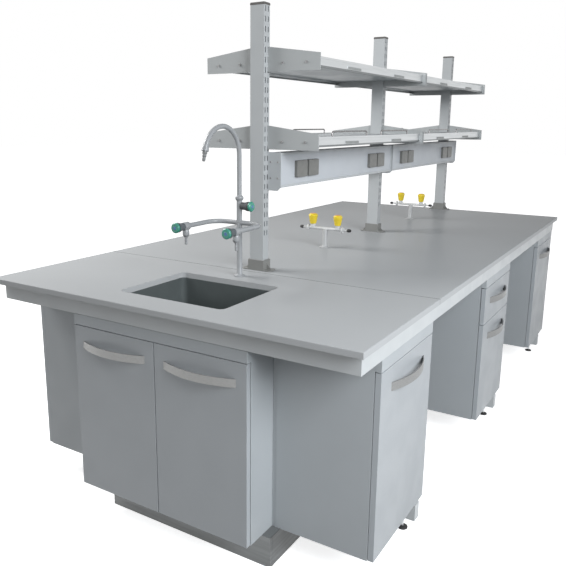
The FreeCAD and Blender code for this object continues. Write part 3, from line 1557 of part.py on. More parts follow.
def socket_lid():
    """A shallow cap over the insert, hinged along its top edge."""
    body = new_body("SocketLid")
    face = sketch_on(body, "XZ_Plane", "lid_clearance")
    rectangle(face, "(-socket_width / 2)", "(-socket_height / 2)", "socket_width", "socket_height")
    pad(body, face, "lid_depth")
    soften(body, "lid_corner", lambda edge: near(edge.BoundBox.XLength, 0) and near(edge.BoundBox.ZLength, 0))
    front = value("-lid_clearance - lid_depth")

    def front_edge(edge):
        return near(edge.BoundBox.YMin, front) and near(edge.BoundBox.YMax, front)

    soften(body, f"(lid_wall * {LID_ROUND_SHARE})", front_edge)
    hollow = sketch_on(body, "XZ_Plane", "lid_clearance")
    wide = "(socket_width - 2 * lid_wall)"
    high = "(socket_height - 2 * lid_wall)"
    rectangle(hollow, f"(-{wide} / 2)", f"(-{high} / 2)", wide, high)
    pocket(body, hollow, "(lid_depth - lid_wall)", backwards=True)
    return body


insert = socket_insert()
lid = socket_lid()
node(group("SocketInserts", [
    copy_of(insert, f"SocketInsert{number}", (along(spot), SOCKET_FACE, SOCKET_Z))
    for number, spot in enumerate(socket_spots, start=1)
]), "socket_inserts")
for number, spot in enumerate(socket_spots, start=1):
    placed = copy_of(lid, f"SocketLidPlaced{number}", (along(spot), SOCKET_FACE, SOCKET_Z))
    node(group(f"SocketLid{number}", [placed]), f"socket_lid_{number}")


# Three way water tap
def shank(body, radius):
    """The threaded shank under a tap's flange, with its nut below the worktop."""
    drawing = sketch_on(body, "XZ_Plane")
    nut_radius = f"({radius} + tap_nut_ledge)"
    outline(drawing, [
        ("0", "(-tap_shank_length)"),
        (radius, "(-tap_shank_length)"),
        (radius, "(-worktop_thickness - tap_nut_height)"),
        (nut_radius, "(-worktop_thickness - tap_nut_height)"),
        (nut_radius, "(-worktop_thickness)"),
        (radius, "(-worktop_thickness)"),
        (radius, "0"),
        ("0", "0"),
    ])
    turned(body, drawing)


def faucet_column():
    body = new_body("FaucetColumn")
    drawing = sketch_on(body, "XZ_Plane")
    outline(drawing, [
        ("0", "0"),
        ("tap_flange_radius", "0"),
        ("tap_flange_radius", "(tap_flange_height / 2)"),
        ("(tap_column_radius + tap_flange_height / 2)", "tap_flange_height"),
        ("tap_column_radius", "(2 * tap_flange_height)"),
        ("tap_column_radius", "tap_column_height"),
        ("0", "tap_column_height"),
    ])
    turned(body, drawing)
    shank(body, "tap_shank_radius")
    return body


def manifold_arm():
    """One arm of the manifold: sideways from the column, round a bend and forward to a valve."""
    body = new_body("ManifoldArm")
    path = sketch_on(body, "XY_Plane")
    reach = value("manifold_reach")
    bend = value("manifold_bend")
    forward = value("manifold_forward")
    corner = bend * DIAGONAL_SHARE
    path.addGeometry([
        Part.LineSegment(FreeCAD.Vector(0, 0, 0), FreeCAD.Vector(0, reach - bend, 0)),
        Part.Arc(
            FreeCAD.Vector(0, reach - bend, 0),
            FreeCAD.Vector(-corner, reach - corner, 0),
            FreeCAD.Vector(-bend, reach, 0),
        ),
        Part.LineSegment(FreeCAD.Vector(-bend, reach, 0), FreeCAD.Vector(-forward, reach, 0)),
    ], False)
    path.addConstraint(Sketcher.Constraint("Tangent", 0, 2, 1, 1))
    path.addConstraint(Sketcher.Constraint("Tangent", 1, 2, 2, 1))
    pin_point(path, 0, 1, "0", "0")
    path.addConstraint(Sketcher.Constraint("Vertical", 0))
    path.addConstraint(Sketcher.Constraint("Horizontal", 2))
    hold_radius(path, 1, "manifold_bend")
    pin_point(path, 2, 2, "(-manifold_forward)", "manifold_reach")
    ring = sketch_on(body, "XZ_Plane")
    circle(ring, "0", "0", "manifold_radius")
    pipe(body, ring, path)
    return body


def turned_shares(body, shares, radius, length):
    """Turn a solid along low Y whose outline is given in shares of a radius and a length."""
    drawing = sketch_on(body, "XY_Plane")
    corners = [("0", "0")]
    for width_share, length_share in shares:
        corners.append((f"({radius} * {width_share})", f"(-{length} * {length_share})"))
    outline(drawing, corners + [("0", f"(-{length})")])
    turned(body, drawing)
    return body


def hose_nozzle():
    """The union and the bored hose nozzle that hang below a valve, from its axis down."""
    body = new_body("HoseNozzle")
    drawing = sketch_on(body, "XZ_Plane")
    corners = [("0", "0")]
    for width_share, drop_share in UNION_SHARES:
        corners.append((f"(union_radius * {width_share})", f"(-union_drop * {drop_share})"))
    for width_share, drop_share in HOSE_RIB_SHARES:
        corners.append((f"(hose_nozzle_radius * {width_share})", f"(-hose_nozzle_reach * {drop_share})"))
    corners.append(("hose_nozzle_bore", "(-hose_nozzle_reach)"))
    corners.append(("hose_nozzle_bore", "(-union_drop)"))
    outline(drawing, corners + [("0", "(-union_drop)")])
    turned(body, drawing)
    return body


def water_knob(name):
    """A round knob along low Y with a raised cap in the middle of its face."""
    return turned_shares(new_body(name), WATER_KNOB_SHARES, "water_knob_radius", "water_knob_thickness")


TAP_X = along(TAP_PLACE)
MANIFOLD_Z = "(worktop_height + manifold_height)"
TOP_VALVE_Z = "(worktop_height + top_valve_height)"
ARM_END = along(f"({TAP_PLACE} - manifold_forward)")
VALVE_X = f"({ARM_END} - valve_length / 2)"
VALVE_FACE = f"({ARM_END} - valve_length)"
column = copy_of(faucet_column(), "FaucetColumnPlaced", (TAP_X, "0", "worktop_height"))
arm_body = manifold_arm()
arm_plain = copy_of(arm_body, "ManifoldArmPlain", (TAP_X, "0", MANIFOLD_Z))
arm_socket = copy_of(mirrored(arm_body, "ManifoldArmMirrored"), "ManifoldArmSocket", (TAP_X, "0", MANIFOLD_Z))
tap_metal = fuse("FaucetMetal", [column, arm_plain, arm_socket])
valve_body = turned_shares(new_body("HoseValve"), VALVE_SHARES, "valve_radius", "valve_length")
nozzle_body = hose_nozzle()
valve_pieces = []
for side, y in (("Plain", "manifold_reach"), ("Socket", "(-manifold_reach)")):
    valve = copy_of(valve_body, "HoseValve" + side, (ARM_END, y, MANIFOLD_Z), -90)
    nozzle = copy_of(nozzle_body, "HoseNozzlePlaced" + side, (VALVE_X, y, MANIFOLD_Z))
    valve_pieces += [valve, cut("HoseNozzle" + side, nozzle, valve)]
bonnet_body = turned_shares(new_body("Bonnet"), BONNET_SHARES, "bonnet_radius", "bonnet_length")
BONNET_SPOTS = {
    "hose_knob_plain_side": ((VALVE_FACE, "manifold_reach", MANIFOLD_Z), -90),
    "hose_knob_socket_side": ((VALVE_FACE, "(-manifold_reach)", MANIFOLD_Z), -90),
    "spout_knob": ((TAP_X, "(-tap_column_radius)", TOP_VALVE_Z), 0),
}
bonnets = []
for label, (spot, turn) in BONNET_SPOTS.items():
    name = "".join(word.capitalize() for word in label.split("_"))
    bonnets.append(copy_of(bonnet_body, name + "Bonnet", spot, turn))
    knob = water_knob(name)
    reach = "(bonnet_length + running_gap)"
    if turn:
        place = (f"({spot[0]} - {reach})", spot[1], spot[2])
    else:
        place = (spot[0], f"({spot[1]} - {reach})", spot[2])
    node(put(knob, place, turn), label)
node(group("FaucetBody", [tap_metal] + valve_pieces + bonnets), "faucet_body")


SPOUT_END_X = f"(-spout_bend * {1 + SPOUT_LEAN_SHARES[0]})"
SPOUT_END_Z = f"(spout_rise + spout_bend * {SPOUT_LEAN_SHARES[1]})"


def swan_neck():
    """The swivel spout: nut, straight tube and a bend that leans out past the half turn."""
    body = new_body("SwanNeck")
    base = "(tap_column_height + running_gap)"
    nut = sketch_on(body, "XZ_Plane")
    outline(nut, [
        ("0", base),
    ] + [
        (f"(spout_nut_radius * {width_share})", f"({base} + spout_nut_height * {height_share})")
        for width_share, height_share in SPOUT_NUT_SHARES
    ] + [
        ("spout_radius", f"({base} + spout_nut_height)"),
        ("0", f"({base} + spout_nut_height)"),
    ])
    turned(body, nut)
    path = sketch_on(body, "XZ_Plane")
    low = value(f"{base} + spout_nut_height / 2")
    rise = value("spout_rise")
    bend = value("spout_bend")
    path.addGeometry([
        Part.LineSegment(FreeCAD.Vector(0, low, 0), FreeCAD.Vector(0, rise, 0)),
        Part.Arc(
            FreeCAD.Vector(0, rise, 0),
            FreeCAD.Vector(-bend, rise + bend, 0),
            FreeCAD.Vector(value(SPOUT_END_X), value(SPOUT_END_Z), 0),
        ),
    ], False)
    path.addConstraint(Sketcher.Constraint("Tangent", 0, 2, 1, 1))
    pin_point(path, 0, 1, "0", f"({base} + spout_nut_height / 2)")
    pin_point(path, 0, 2, "0", "spout_rise")
    pin_point(path, 1, 2, SPOUT_END_X, SPOUT_END_Z)
    ring = sketch_on(body, "XY_Plane", f"({base} + spout_nut_height / 2)")
    circle(ring, "0", "0", "spout_radius")
    pipe(body, ring, path)
    return body


def spout_tip():
    """The collar over the tube's end and the bored, ribbed tip beyond it, along low Z."""
    body = new_body("SpoutTip")
    corners = [
        ("0", "spout_collar_lap"),
        ("spout_collar_root", "spout_collar_lap"),
        ("spout_collar_radius", "(-spout_collar_end)"),
    ]
    for width_share, length_share in SPOUT_TIP_SHARES:
        drop = f"(-spout_collar_end - spout_tip_length * {length_share})"
        corners.append((f"(nozzle_root * {width_share})", drop))
    corners += [
        ("spout_bore", "(-spout_collar_end - spout_tip_length)"),
        ("spout_bore", "(spout_bore_depth - spout_collar_end - spout_tip_length)"),
        ("0", "(spout_bore_depth - spout_collar_end - spout_tip_length)"),
    ]
    turned(body, outline(sketch_on(body, "XZ_Plane"), corners))
    return body


tip_spot = (SPOUT_END_X, "0", SPOUT_END_Z)
tip = copy_of(spout_tip(), "SpoutTipPlaced", tip_spot, SPOUT_LEAN, (0, 1, 0))
spout = fuse("SwanNeckMetal", [swan_neck(), tip])
spout_placed = copy_of(spout, "SwanNeckPlaced", (TAP_X, "0", "worktop_height"))
node(group("SwanNeckSpout", [spout_placed]), "swan_neck_spout")


# Gas taps
def gas_post():
    """Flange, post, crossbar with collars and a nozzle at each end."""
    body = new_body("GasPost")
    post = sketch_on(body, "XZ_Plane")
    outline(post, [
        ("0", "0"),
        ("gas_flange_radius", "0"),
        ("gas_flange_radius", "(tap_flange_height / 2)"),
        ("(gas_column_radius + tap_flange_height / 2)", "tap_flange_height"),
        ("gas_column_radius", "(2 * tap_flange_height)"),
        ("gas_column_radius", "gas_bar_height"),
        ("0", "gas_bar_height"),
    ])
    turned(body, post)
    shank(body, "gas_shank_radius")
    for mirror in ("", "-"):
        bar = sketch_on(body, "YZ_Plane")
        corners = [
            ("0", "0"),
            ("0", "gas_bar_radius"),
            ("(gas_bar_reach - gas_collar_length)", "gas_bar_radius"),
            ("(gas_bar_reach - gas_collar_length)", "gas_collar_radius"),
            ("gas_bar_reach", "gas_collar_radius"),
            ("gas_bar_reach", "gas_nozzle_radius"),
            ("(gas_bar_reach + gas_nozzle_length)", "gas_nozzle_radius"),
            ("(gas_bar_reach + gas_nozzle_length)", "0"),
        ]
        placed = [(x if x == "0" else f"({mirror}{x})", f"(gas_bar_height + {z})") for x, z in corners]
        outline(bar, placed)
        reach, level = value("gas_bar_reach"), value("gas_bar_height")
        middle_line = Part.LineSegment(FreeCAD.Vector(-reach, level, 0), FreeCAD.Vector(reach, level, 0))
        axis_line = bar.addGeometry(middle_line, True)
        bar.addConstraint(Sketcher.Constraint("Horizontal", axis_line))
        bar.addConstraint(Sketcher.Constraint("PointOnObject", 0, 1, axis_line))
        turned(body, bar, "Axis0")
    for sign in ("-", ""):
        neck_ring = sketch_on(body, "XY_Plane", "gas_bar_height")
        circle(neck_ring, "0", f"({sign}gas_knob_place)", "gas_neck_radius")
        pad(body, neck_ring, "(gas_bar_radius + gas_neck_height)")
    return body


def gas_tip():
    """The dark hose end on a gas nozzle, along Y from the nozzle's end face."""
    body = new_body("GasTip")
    drawing = sketch_on(body, "XY_Plane")
    corners = [("0", "0")]
    for width_share, length_share in GAS_TIP_SHARES:
        corners.append((f"(gas_tip_radius * {width_share})", f"(gas_tip_length * {length_share})"))
    corners += [("gas_tip_bore", "gas_tip_length"), ("gas_tip_bore", "(gas_tip_length / 2)")]
    outline(drawing, corners + [("0", "(gas_tip_length / 2)")])
    turned(body, drawing)
    return body


def gas_knob(name):
    """A tall tapered knob, wider at the top, with a sloping crown and flutes down its sides."""
    body = new_body(name)
    drawing = sketch_on(body, "XZ_Plane")
    outline(drawing, [
        ("0", "0"),
        ("gas_knob_foot", "0"),
        ("gas_knob_head", f"(gas_knob_height * {GAS_KNOB_SHARE})"),
        ("gas_knob_crown", "gas_knob_height"),
        ("0", "gas_knob_height"),
    ])
    turned(body, drawing)
    top = value("gas_knob_height")
    soften(body, "gas_knob_round", lambda edge: flat_edge_at(edge, top))
    flute = sketch_on(body, "XY_Plane")
    circle(flute, "(gas_knob_head + gas_knob_flute - gas_knob_flute_bite)", "0", "gas_knob_flute")
    groove = through(body, flute)
    pattern = body.newObject("PartDesign::PolarPattern", name + "Flutes")
    pattern.Originals = [groove]
    pattern.Axis = (body_axis(body, "Z_Axis"), [""])
    pattern.Occurrences = GAS_KNOB_FLUTES
    body.Tip = pattern
    return body


post_body = gas_post()
tip_body = gas_tip()
GAS_END = "(gas_bar_reach + gas_nozzle_length)"
BAR_Z = "(worktop_height + gas_bar_height)"
KNOB_Z = f"({BAR_Z} + gas_bar_radius + gas_neck_height + running_gap)"
gas_pieces = []
for number, place in enumerate(GAS_PLACES, start=1):
    gas_pieces.append(copy_of(post_body, f"GasPost{number}", (along(place), "0", "worktop_height")))
    gas_pieces.append(copy_of(tip_body, f"GasTip{number}Plain", (along(place), GAS_END, BAR_Z)))
    gas_pieces.append(copy_of(tip_body, f"GasTip{number}Socket", (along(place), f"(-{GAS_END})", BAR_Z), 180))
    for side, sign in (("plain_side", ""), ("socket_side", "-")):
        knob = gas_knob(f"GasKnob{number}{side.split('_')[0].capitalize()}")
        node(put(knob, (along(place), f"({sign}gas_knob_place)", KNOB_Z)), f"gas_knob_{number}_{side}")
node(group("GasTaps", gas_pieces), "gas_taps")

# Check everything, then write one file for each node
DOC.recompute()
faults = []
for thing in DOC.Objects:
    if "Invalid" in thing.State or "Error" in thing.State:
        faults.append(f"{thing.Label}: {thing.State}")
shapes = {}
for piece in NODES:
    shape = Part.getShape(piece)
    if shape.isNull() or not shape.isValid() or not shape.Solids:
        faults.append(f"{piece.Label}: no valid solid")
    shapes[piece.Label] = shape
if faults:
    raise RuntimeError("; ".join(faults))
if len(shapes) > MAX_NODES:
    raise RuntimeError(f"{len(shapes)} nodes are too many")

os.makedirs("parts", exist_ok=True)
for label, shape in shapes.items():
    shape.exportStep(f"parts/{label}.step")
print(len(shapes), "nodes,", sum(len(shape.Solids) for shape in shapes.values()), "solids")
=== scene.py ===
import json
import math

import bmesh
import bpy
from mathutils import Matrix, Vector


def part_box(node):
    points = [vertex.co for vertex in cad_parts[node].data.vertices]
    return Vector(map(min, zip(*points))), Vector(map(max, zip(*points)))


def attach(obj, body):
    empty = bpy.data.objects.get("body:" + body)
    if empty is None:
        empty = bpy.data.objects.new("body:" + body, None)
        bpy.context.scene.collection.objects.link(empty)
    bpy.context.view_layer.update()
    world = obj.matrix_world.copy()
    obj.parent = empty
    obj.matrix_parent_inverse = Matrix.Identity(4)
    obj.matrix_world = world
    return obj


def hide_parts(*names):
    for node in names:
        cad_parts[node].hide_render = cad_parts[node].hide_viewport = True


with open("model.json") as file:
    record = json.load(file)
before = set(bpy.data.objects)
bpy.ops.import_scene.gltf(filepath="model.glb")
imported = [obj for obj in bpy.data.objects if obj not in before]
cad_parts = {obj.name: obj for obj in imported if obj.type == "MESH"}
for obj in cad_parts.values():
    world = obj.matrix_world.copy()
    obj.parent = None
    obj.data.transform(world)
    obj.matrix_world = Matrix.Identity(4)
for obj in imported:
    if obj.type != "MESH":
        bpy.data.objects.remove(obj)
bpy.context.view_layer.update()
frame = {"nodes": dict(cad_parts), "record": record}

MM = 0.001
NODES = frame["nodes"]
RECORD = frame["record"]
BODY_OF = {node: body for body, nodes in RECORD["behaviour"]["bodies"].items() for node in nodes}

# How far the edges of each piece are rounded, or chamfered where it is made of boards
SLAB_ROUND = 0.6 * MM
CROSS_FRAME_ROUND = 2.0 * MM
APRON_ROUND = 1.6 * MM
CARCASS_CHAMFER = 0.4 * MM
PLINTH_CHAMFER = 0.8 * MM
FRONT_CHAMFER = 0.5 * MM
SHELF_CHAMFER = 0.5 * MM
SMALL_BOARD_CHAMFER = 0.3 * MM
HINGE_ROUND = 0.4 * MM
RUNNER_ROUND = 0.3 * MM
BASIN_ROUND = 0.8 * MM
TRAP_ROUND = 0.6 * MM
FOOT_ROUND = 0.6 * MM
CAP_ROUND = 0.4 * MM
HANDLE_ROUND = 0.6 * MM
POST_ROUND = 0.5 * MM
SHOE_ROUND = 1.2 * MM
BRACKET_ROUND = 0.5 * MM
STRIP_ROUND = 0.3 * MM
ROD_ROUND = 0.2 * MM
DUCT_ROUND = 0.6 * MM
SOCKET_ROUND = 0.5 * MM
FLAP_ROUND = 0.6 * MM
TAP_ROUND = 0.3 * MM
GAS_TAP_ROUND = 0.4 * MM
GAS_KNOB_ROUND = 0.5 * MM
WATER_KNOB_ROUND = 0.4 * MM

# Worktop seam
BEAD_HALF_WIDTH = 0.9 * MM
BEAD_PROUD = 0.15 * MM
BEAD_RISE = 0.2 * MM
BEAD_FOOT = 1.0 * MM
SEAM_FACE_REACH = 3.0 * MM

# Cabinets
RAIL_GAP = 1.6 * MM
FILLER_NEAR = 0.4 * MM
FILLER_FAR = 12.6 * MM
FILLER_SETBACK = 1.5 * MM
FILLER_FRONT = 9.5 * MM
LEDGE_INSET = 1.0 * MM
LEDGE_TUCK = 14.0 * MM
LEDGE_FOOT = 4.0 * MM
LEDGE_DROP = 0.3 * MM
DRAWER_FRONT_BACK = 19.5 * MM
RUNNER_PLACE = 196.8 * MM

# Waste, feet and caps
STRAINER_LIFT = 3.0 * MM
FOOT_DISC_TOP = 10.5 * MM
CAP_LEVEL = 1.0
SKIRT_TUCK = 0.05 * MM
SKIRT_PROUD = 0.9 * MM
SKIRT_RISE = 0.2 * MM
SKIRT_HEIGHT = 6.0 * MM
SKIRT_LIP = 0.5 * MM

# Rack, shelves and duct
POST_SKIN = 0.4 * MM
STRIP_BAND = 7.0 * MM
STRIP_BAND_SLACK = 1.0 * MM
LONG_STRIP = 0.5
LABEL_STRIP = 200.0 * MM
DUCT_FRONT_BACK = 2.5 * MM
END_PLATE_THICK = 5.0 * MM

# Screws and cards
BRACKET_SCREW = (5.0 * MM, 4.2 * MM, 2.2 * MM)
BRACKET_SCREW_REACHES = (65.0 * MM, 165.0 * MM)
BRACKET_SCREW_LEVEL = 30.0 * MM
ROOT_SPLIT = 0.1
PLATE_SCREW = (3.8 * MM, 1.6 * MM, 1.2 * MM)
PLATE_SCREW_INSET = 14.0 * MM
PLATE_SCREW_DROP = 38.0 * MM
PLATE_SCREW_RISE = 48.0 * MM
SCREW_CORNERS = 24
RECESS_CORNERS = 6
SHOULDER_SHARE = 0.45
CROWN_SHARE = 0.82
RECESS_SHARE = 0.4
CARD_WIDE = 122.0 * MM
CARD_HIGH = 9.6 * MM
CARD_THICK = 0.3 * MM
CARD_NICK = 0.8 * MM
CARD_BED = 1.0 * MM

# Taps
VALVE_HEIGHT = 0.05
NOZZLE_HEIGHT = 0.2
BONNET_REACH = 34.2 * MM
SPOUT_VALVE_LEVEL = 1.1
NECK_TIP_WIDTH = 60.0 * MM
NECK_TIP_LEVEL = 1.324
GAS_BAR_DROP = 34.0 * MM
HOSE_END = 17.8 * MM
KNOB_MARK_DEPTH = 0.2 * MM
KNOB_CAP_DEPTH = 0.6 * MM

# How meshes are joined, sharpened and read
WELD = 0.01 * MM
LEVEL_SLACK = 0.05 * MM
FLAT_ANGLE = math.radians(0.5)
SHARP_ANGLE = math.radians(35.0)
EDGE_ANGLE = math.radians(32.0)
SQUARE = 0.9
MOSTLY = 0.5
LEVEL_FACE = 0.95
UPRIGHT_FACE = 0.3
TURNED_IN = 0.1


def low(node):
    return Vector(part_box(node)[0])


def high(node):
    return Vector(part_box(node)[1])


def middle(node):
    return (low(node) + high(node)) / 2


# Finishes
class Finish:
    """A procedural surface: one shader with the textures that vary it."""

    def __init__(self, name, colour, roughness, metallic=0.0, **sockets):
        self.material = bpy.data.materials.new(name)
        self.material.use_nodes = True
        self.nodes = self.material.node_tree.nodes
        self.links = self.material.node_tree.links
        self.shader = self.nodes["Principled BSDF"]
        self.shader.inputs["Base Color"].default_value = (*colour, 1.0)
        self.shader.inputs["Roughness"].default_value = roughness
        self.shader.inputs["Metallic"].default_value = metallic
        for socket, number in sockets.items():
            self.shader.inputs[socket.replace("_", " ")].default_value = number
        self.place = self.nodes.new("ShaderNodeTexCoord").outputs["Object"]

    def stretched(self, scale):
        """Object coordinates scaled apart along X, Y and Z."""
        node = self.nodes.new("ShaderNodeMapping")
        node.inputs["Scale"].default_value = scale
        self.links.new(self.place, node.inputs["Vector"])
        return node.outputs["Vector"]

    def noise(self, per_metre, detail=3.0, stretch=None):
        node = self.nodes.new("ShaderNodeTexNoise")
        node.inputs["Scale"].default_value = per_metre
        node.inputs["Detail"].default_value = detail
        self.links.new(self.stretched(stretch) if stretch else self.place, node.inputs["Vector"])
        return node.outputs["Fac"]

    def cells(self, per_metre):
        node = self.nodes.new("ShaderNodeTexVoronoi")
        node.inputs["Scale"].default_value = per_metre
        self.links.new(self.place, node.inputs["Vector"])
        return node.outputs["Distance"]

    def ranged(self, socket, lowest, highest, start=0.3, end=0.7):
        """Spread a texture's start to end over lowest to highest, with soft ends."""
        node = self.nodes.new("ShaderNodeMapRange")
        node.interpolation_type = "SMOOTHERSTEP"
        node.inputs["From Min"].default_value = start
        node.inputs["From Max"].default_value = end
        node.inputs["To Min"].default_value = lowest
        node.inputs["To Max"].default_value = highest
        self.links.new(socket, node.inputs["Value"])
        return node.outputs["Result"]

    def tint(self, other, factor):
        """Blend the colour so far towards another one where factor is high."""
        node = self.nodes.new("ShaderNodeMix")
        node.data_type = "RGBA"
        self.links.new(factor, node.inputs["Factor"])
        base = self.shader.inputs["Base Color"]
        if base.is_linked:
            self.links.new(base.links[0].from_socket, node.inputs["A"])
        else:
            node.inputs["A"].default_value = base.default_value
        node.inputs["B"].default_value = (*other, 1.0)
        self.links.new(node.outputs["Result"], base)

    def rough(self, factor):
        self.links.new(factor, self.shader.inputs["Roughness"])

    def bump(self, factor, depth):
        node = self.nodes.new("ShaderNodeBump")
        node.inputs["Distance"].default_value = depth
        node.inputs["Strength"].default_value = 1.0
        self.links.new(factor, node.inputs["Height"])
        self.links.new(node.outputs["Normal"], self.shader.inputs["Normal"])


def times(colour, share):
    return [part * share for part in colour]


def resin_worktop(name, colour):
    """Grey slab resin: even, with a very fine fleck and a satin face."""
    finish = Finish(name, colour, 0.28, Specular_IOR_Level=0.01)
    cloud = finish.noise(per_metre=2.0, detail=3.0)
    fleck = finish.noise(per_metre=900.0, detail=1.0)
    finish.tint(times(colour, 1.05), finish.ranged(cloud, 0.0, 0.5, start=0.2, end=0.8))
    finish.tint(times(colour, 0.85), finish.ranged(fleck, 0.0, 0.06, start=0.6, end=0.75))
    finish.rough(finish.ranged(finish.noise(per_metre=3.0, detail=1.0), 0.275, 0.295, start=0.1, end=0.9))
    finish.bump(finish.noise(per_metre=1200.0, detail=1.0), depth=0.003 * MM)
    return finish.material


def faced_board(name, colour, shine=0.3):
    """Board with a fine pebbled melamine face."""
    finish = Finish(name, colour, 0.42, Specular_IOR_Level=shine)
    finish.tint(times(colour, 1.04), finish.ranged(finish.noise(per_metre=4.0, detail=3.0), 0.0, 0.6))
    finish.rough(finish.ranged(finish.noise(per_metre=12.0, detail=4.0), 0.38, 0.48))
    finish.bump(finish.cells(per_metre=1100.0), depth=0.04 * MM)
    return finish.material


def coated_steel(name, colour, roughness=0.38):
    """Powder coat: a soft orange peel over the metal."""
    finish = Finish(name, colour, roughness, Specular_IOR_Level=0.4)
    wear = finish.noise(per_metre=20.0, detail=3.0)
    finish.tint(times(colour, 0.95), finish.ranged(finish.noise(per_metre=6.0, detail=4.0), 0.0, 0.6))
    finish.rough(finish.ranged(wear, roughness - 0.05, roughness + 0.07))
    finish.bump(finish.noise(per_metre=700.0, detail=2.0), depth=0.06 * MM)
    return finish.material


def brushed_metal(name, colour, roughness, stretch, metallic=1.0):
    """Satin metal with fine lines along one way."""
    finish = Finish(name, colour, roughness, metallic)
    lines = finish.noise(per_metre=90.0, detail=4.0, stretch=stretch)
    finish.rough(finish.ranged(lines, roughness - 0.06, roughness + 0.08))
    finish.tint(times(colour, 0.88), finish.ranged(lines, 0.0, 0.5))
    finish.bump(lines, depth=0.02 * MM)
    return finish.material


def plated_metal(name, colour, roughness):
    """Bright plating that is a little dull in places."""
    finish = Finish(name, colour, roughness, metallic=1.0)
    dulling = finish.noise(per_metre=90.0, detail=3.0)
    finish.rough(finish.ranged(dulling, roughness * 0.7, roughness * 1.4))
    return finish.material


def moulded_plastic(name, colour, roughness, coat=0.0, shine=0.5):
    """Fine grained plastic, with a glossy skin where coat is given."""
    finish = Finish(name, colour, roughness, Coat_Weight=coat, Coat_Roughness=0.15, Specular_IOR_Level=shine)
    finish.tint(times(colour, 0.9), finish.ranged(finish.noise(per_metre=30.0, detail=3.0), 0.0, 0.5))
    grain = finish.noise(per_metre=60.0, detail=2.0)
    finish.rough(finish.ranged(grain, roughness - 0.05, roughness + 0.06))
    finish.bump(finish.noise(per_metre=1500.0, detail=1.0), depth=0.03 * MM)
    return finish.material


ALONG_X = (0.05, 1.0, 1.0)
ALONG_PLINTH = (0.05, 0.05, 1.0)
ALONG_HANDLE = (1.0, 1.0, 6.0)

WORKTOP = resin_worktop("resin_worktop", (0.40, 0.41, 0.415))
# Painted light: a paler copy of the worktop resin for the slab's edge faces, which are the same resin
RESIN_EDGE_LIT = resin_worktop("resin_edge_painted_light", (0.48, 0.49, 0.495))
SEAM = moulded_plastic("seam_filler", (0.12, 0.125, 0.125), 0.6)
CARCASS = faced_board("carcass_board", (0.435, 0.46, 0.475))
FRONT = faced_board("front_board", (0.405, 0.425, 0.44))
EDGING = faced_board("edging_strip", (0.44, 0.465, 0.485))
DRAWER_BOX = faced_board("drawer_box_board", (0.70, 0.705, 0.70))
PLINTH = brushed_metal("plinth_facing", (0.145, 0.15, 0.15), 0.45, ALONG_PLINTH)
LEDGE = coated_steel("plinth_ledge_coat", (0.15, 0.157, 0.157), 0.5)
SHELF = faced_board("shelf_board", (0.47, 0.49, 0.50), shine=0.05)
# Painted shade: a darker copy of the shelf board for the faces that look down
SHELF_UNDERSIDE_SHADE = faced_board("shelf_underside_painted_shade", (0.40, 0.425, 0.435))
FRAME = coated_steel("frame_coat", (0.56, 0.58, 0.585))
RACK = coated_steel("rack_coat", (0.45, 0.465, 0.47), 0.34)
# Painted shade: a darker, rougher copy of the rack coat for the faces inside the tubes, seen through the
# slots
RACK_INNER_SHADE = coated_steel("rack_inner_painted_shade", (0.23, 0.25, 0.27), 0.7)
BRACKET = coated_steel("bracket_coat", (0.42, 0.435, 0.435))
DUCT = coated_steel("duct_coat", (0.52, 0.54, 0.55))
DUCT_FRONT = coated_steel("duct_front_coat", (0.55, 0.575, 0.605))
TAP = coated_steel("tap_coat", (0.34, 0.35, 0.36), 0.22)
NOZZLE = coated_steel("nozzle_coat", (0.20, 0.205, 0.205), 0.4)
GAS_WHITE = coated_steel("gas_tap_coat", (0.41, 0.415, 0.415), 0.30)
# Painted light: a paler copy of the gas taps' white coat for the crossbar, which is the same coat as the
# posts
GAS_BAR_LIT = coated_steel("gas_bar_painted_light", (0.62, 0.625, 0.62), 0.30)
STRIP = brushed_metal("strip_aluminium", (0.62, 0.64, 0.65), 0.38, ALONG_X)
STRIP_LOW = brushed_metal("strip_lower_band", (0.23, 0.245, 0.25), 0.42, ALONG_X)
HANDLE = brushed_metal("handle_aluminium", (0.25, 0.25, 0.245), 0.42, ALONG_HANDLE, metallic=0.55)
# Painted light: a paler, less metallic copy of the handle aluminium for the faces turned to the door, which
# lie in shade
HANDLE_BACK_LIT = brushed_metal("handle_back_painted_light", (0.55, 0.55, 0.545), 0.5, ALONG_HANDLE, metallic=0.2)
ROD = plated_metal("guard_rod_metal", (0.25, 0.24, 0.24), 0.25)
PLATED = plated_metal("plated_steel", (0.55, 0.56, 0.57), 0.3)
SCREW = plated_metal("screw_steel", (0.33, 0.33, 0.33), 0.45)
CAP = moulded_plastic("cap_plastic", (0.085, 0.08, 0.075), 0.5)
SHOE = moulded_plastic("shoe_plastic", (0.22, 0.22, 0.21), 0.48)
FOOT = moulded_plastic("foot_plastic", (0.03, 0.03, 0.03), 0.5)
BASIN = moulded_plastic("basin_plastic", (0.105, 0.12, 0.12), 0.34)
WASTE = moulded_plastic("waste_plastic", (0.60, 0.61, 0.61), 0.35)
SOCKET = moulded_plastic("socket_plastic", (0.175, 0.175, 0.165), 0.4)
SOCKET_INNER = moulded_plastic("socket_inner_plastic", (0.16, 0.155, 0.145), 0.45)
KNOB_GREEN = moulded_plastic("knob_green", (0.03, 0.27, 0.19), 0.3, coat=0.4)
KNOB_BLUE = moulded_plastic("knob_blue", (0.05, 0.15, 0.38), 0.3, coat=0.4)
KNOB_YELLOW = moulded_plastic("knob_yellow", (0.80, 0.60, 0.03), 0.3, coat=0.4)
KNOB_MARK = moulded_plastic("knob_mark", (0.60, 0.16, 0.04), 0.35)
BONNET = moulded_plastic("bonnet_plastic", (0.12, 0.135, 0.145), 0.55, shine=0.25)
